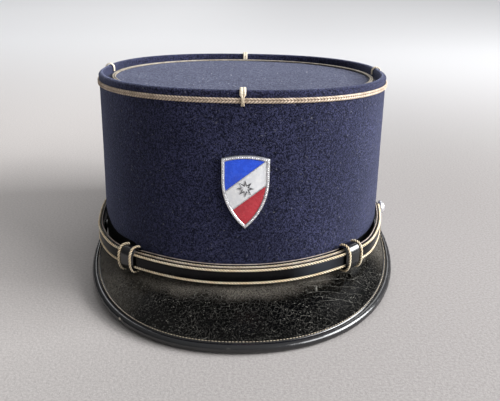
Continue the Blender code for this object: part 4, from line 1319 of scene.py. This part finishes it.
def make_badge():
    """Silver shield with a beaded rim, a white band between blue and red, and a star."""
    place = badge_place()
    plate = add_outline("badge_shield", shield(0.0), 0.0)
    edit(plate)
    pick_all()
    extrude((0, 0, BADGE_THICKNESS))
    bpy.ops.mesh.inset(thickness=BADGE_RIM)
    extrude((0, 0, -BADGE_POCKET))
    pick(plate, "edges", all_above(BADGE_THICKNESS - FLUSH))
    bevel(0.28 * MM, 3)
    face_outwards()
    leave()

    floor = BADGE_THICKNESS - BADGE_POCKET
    across = Vector((-math.sin(BAND_ANGLE), math.cos(BAND_ANGLE), 0))
    along = Vector((math.cos(BAND_ANGLE), math.sin(BAND_ANGLE), 0))
    middle = Vector((0, BAND_CENTRE, 0))
    upper, lower = middle + across * BAND_HALF_WIDTH, middle - across * BAND_HALF_WIDTH
    for colour, finish, cuts in (
        ("blue", BLUE, ((upper, -1),)),
        ("white", WHITE, ((upper, 1), (lower, -1))),
        ("red", RED, ((lower, 1),)),
    ):
        field = add_outline(f"badge_{colour}_field", shield(BADGE_RIM + FIELD_GAP), floor + 0.02 * MM)
        edit(field)
        for centre, way in cuts:
            spot, normal = centre - way * across * BAR_SIDE, way * across
            pick_all()
            bpy.ops.mesh.bisect(plane_co=spot, plane_no=normal, clear_outer=True)
        leave()
        finish_flat(field, FIELD_HEIGHT, FIELD_EASE)
        carry(field, place)
        wear(field, finish, f"{colour}_enamel", f"badge_{colour}", sharp=50)

    ridges = [plate]
    for number, (centre, left_end) in enumerate(((upper, UPPER_BAR_END), (lower, LOWER_BAR_END))):
        bpy.ops.mesh.primitive_cube_add(size=1.0)
        bpy.ops.transform.resize(value=BAR_SIZE)
        bar = begin(f"badge_ridge_{number}")
        edit(bar)
        pick(bar, "edges", all_above(0))
        bevel(0.15 * MM, 2)
        leave()
        turned = points_of(bar) @ np.array((along, across, (0, 0, 1)))
        mould(bar, turned + np.array(centre) + np.array((0, 0, floor + 0.4 * MM)))
        edit(bar)
        for end, way in ((left_end, -1), (11.0 * MM, 1)):
            pick_all()
            bpy.ops.mesh.bisect(
                plane_co=(end, 0, 0), plane_no=(way, 0, 0), clear_outer=True, use_fill=True
            )
        leave()
        ridges.append(bar)
    plate = join("badge_shield", ridges)
    carry(plate, place)
    wear(plate, METAL, "silver", "badge_plate", sharp=35)

    points = []
    for i in range(16):
        radius, angle = (STAR_NOTCH if i % 2 else STAR_POINT), -math.pi * i / 8
        points.append((radius * math.cos(angle), BAND_CENTRE + radius * math.sin(angle)))
    star = add_outline("badge_star_cut", points, floor + FIELD_HEIGHT)
    edit(star)
    pick_all()
    extrude((0, 0, STAR_HEIGHT))
    bpy.ops.mesh.poke(offset=STAR_PEAK)
    face_outwards()
    leave()
    carry(star, place)
    wear(star, DARK_METAL, "silver", "badge_star", sharp=10)

    bpy.ops.mesh.primitive_uv_sphere_add(segments=10, ring_count=7, radius=BEAD_RADIUS)
    bead = begin("bead")
    rim = np.array([(x, y, BADGE_THICKNESS) for x, y in shield(BEAD_INSET, 40)])
    rim = np.concatenate((rim, rim[:1]))
    spots, _ = evenly(rim, BEAD_STEP)
    beads = scatter("badge_beads", bead, [Matrix.Translation(spot) for spot in spots[:-1]])
    carry(beads, place)
    wear(beads, METAL, "silver", sharp=80)


# ---------------- build the cap

make_crown()
make_crown_top()
make_braid(
    "side_soutache", on_crown, (0.5 * MM, -SIDE_BRAID_DEPTH), (0.0, 0.68 * MM), (0.55, 0.66),
    6, 1.8 * MM, BRAID, "side_braid",
)
make_braid(
    "top_soutache", on_top_oval, (0.0, 0.5 * MM - TOP_DEPTH), (0.62 * MM, 0.0), (0.52, 0.48),
    5, 1.4 * MM, TOP_BRAID, "top_braid",
)
for side, turn, shift in (("front", 0, 0.8), ("right", 92.5, 0), ("back", 180, -0.8), ("left", 267.5, 0)):
    make_tab(side, turn * DEG, shift * MM)
make_visor()
make_binding()
make_stitches()
for make_pair in (make_strap, make_loop, make_button):
    make_pair(1)
    make_pair(-1)
make_badge()

# ---------------- floor, light and camera


WINDOW_WAY = (0.62, -0.35, 0.70)


def add_light(name, place, aim, size, power, tint):
    lamp = bpy.data.lights.new(name, "AREA")
    lamp.shape = "RECTANGLE"
    lamp.size, lamp.size_y = size
    lamp.energy = power
    lamp.color = tint
    light = put_in(bpy.data.objects.new(name, lamp))
    light.location = place
    light.rotation_euler = (Vector(aim) - Vector(place)).to_track_quat("-Z", "Y").to_euler()


bpy.ops.mesh.primitive_plane_add(size=9.0, location=(0, 2.5, 0))
floor = begin("floor")
floor.data.materials.append(floor_paper())

add_light("window", (1.25, -0.06, 0.66), (0, 0, 0.05), (0.75, 0.65), 30.0, (0.965, 0.98, 1.0))
add_light("sky", (0.1, 2.1, 1.9), (0, 1.4, 0.0), (2.6, 1.2), 20.5, (0.98, 0.99, 1.0))
add_light("fill", (1.30, -0.80, 0.80), (0, 0, 0.08), (0.9, 0.7), 20.0, (0.99, 0.99, 1.0))


def studio_world():
    """Soft light all round, stronger from the window's side."""
    world = bpy.data.worlds.new("studio")
    made = Nodes(world)
    way = made.add("ShaderNodeTexCoord", output="Generated")
    inputs = {0: way, 1: WINDOW_WAY}
    side = made.add("ShaderNodeVectorMath", inputs, "Value", operation="DOT_PRODUCT")
    strength = made.add("ShaderNodeMapRange", {0: side, 1: -0.5, 2: 1.0, 3: 0.10, 4: 0.60})
    back = made.tree.nodes["Background"]
    made.set(back, "Color", (0.97, 0.98, 1.0, 1.0))
    made.set(back, "Strength", strength)
    bpy.context.scene.world = world


studio_world()

camera_data = bpy.data.cameras.new("camera")
camera_data.sensor_width = 36.0
camera_data.lens = 50.4
camera = put_in(bpy.data.objects.new("camera", camera_data))
camera.location = (5.86 * MM, -418.1 * MM, 183.4 * MM)
camera.rotation_euler = ((90 - 19.94) * DEG, 0, 0)
bpy.context.scene.camera = camera
bpy.context.scene.view_settings.view_transform = "Standard"
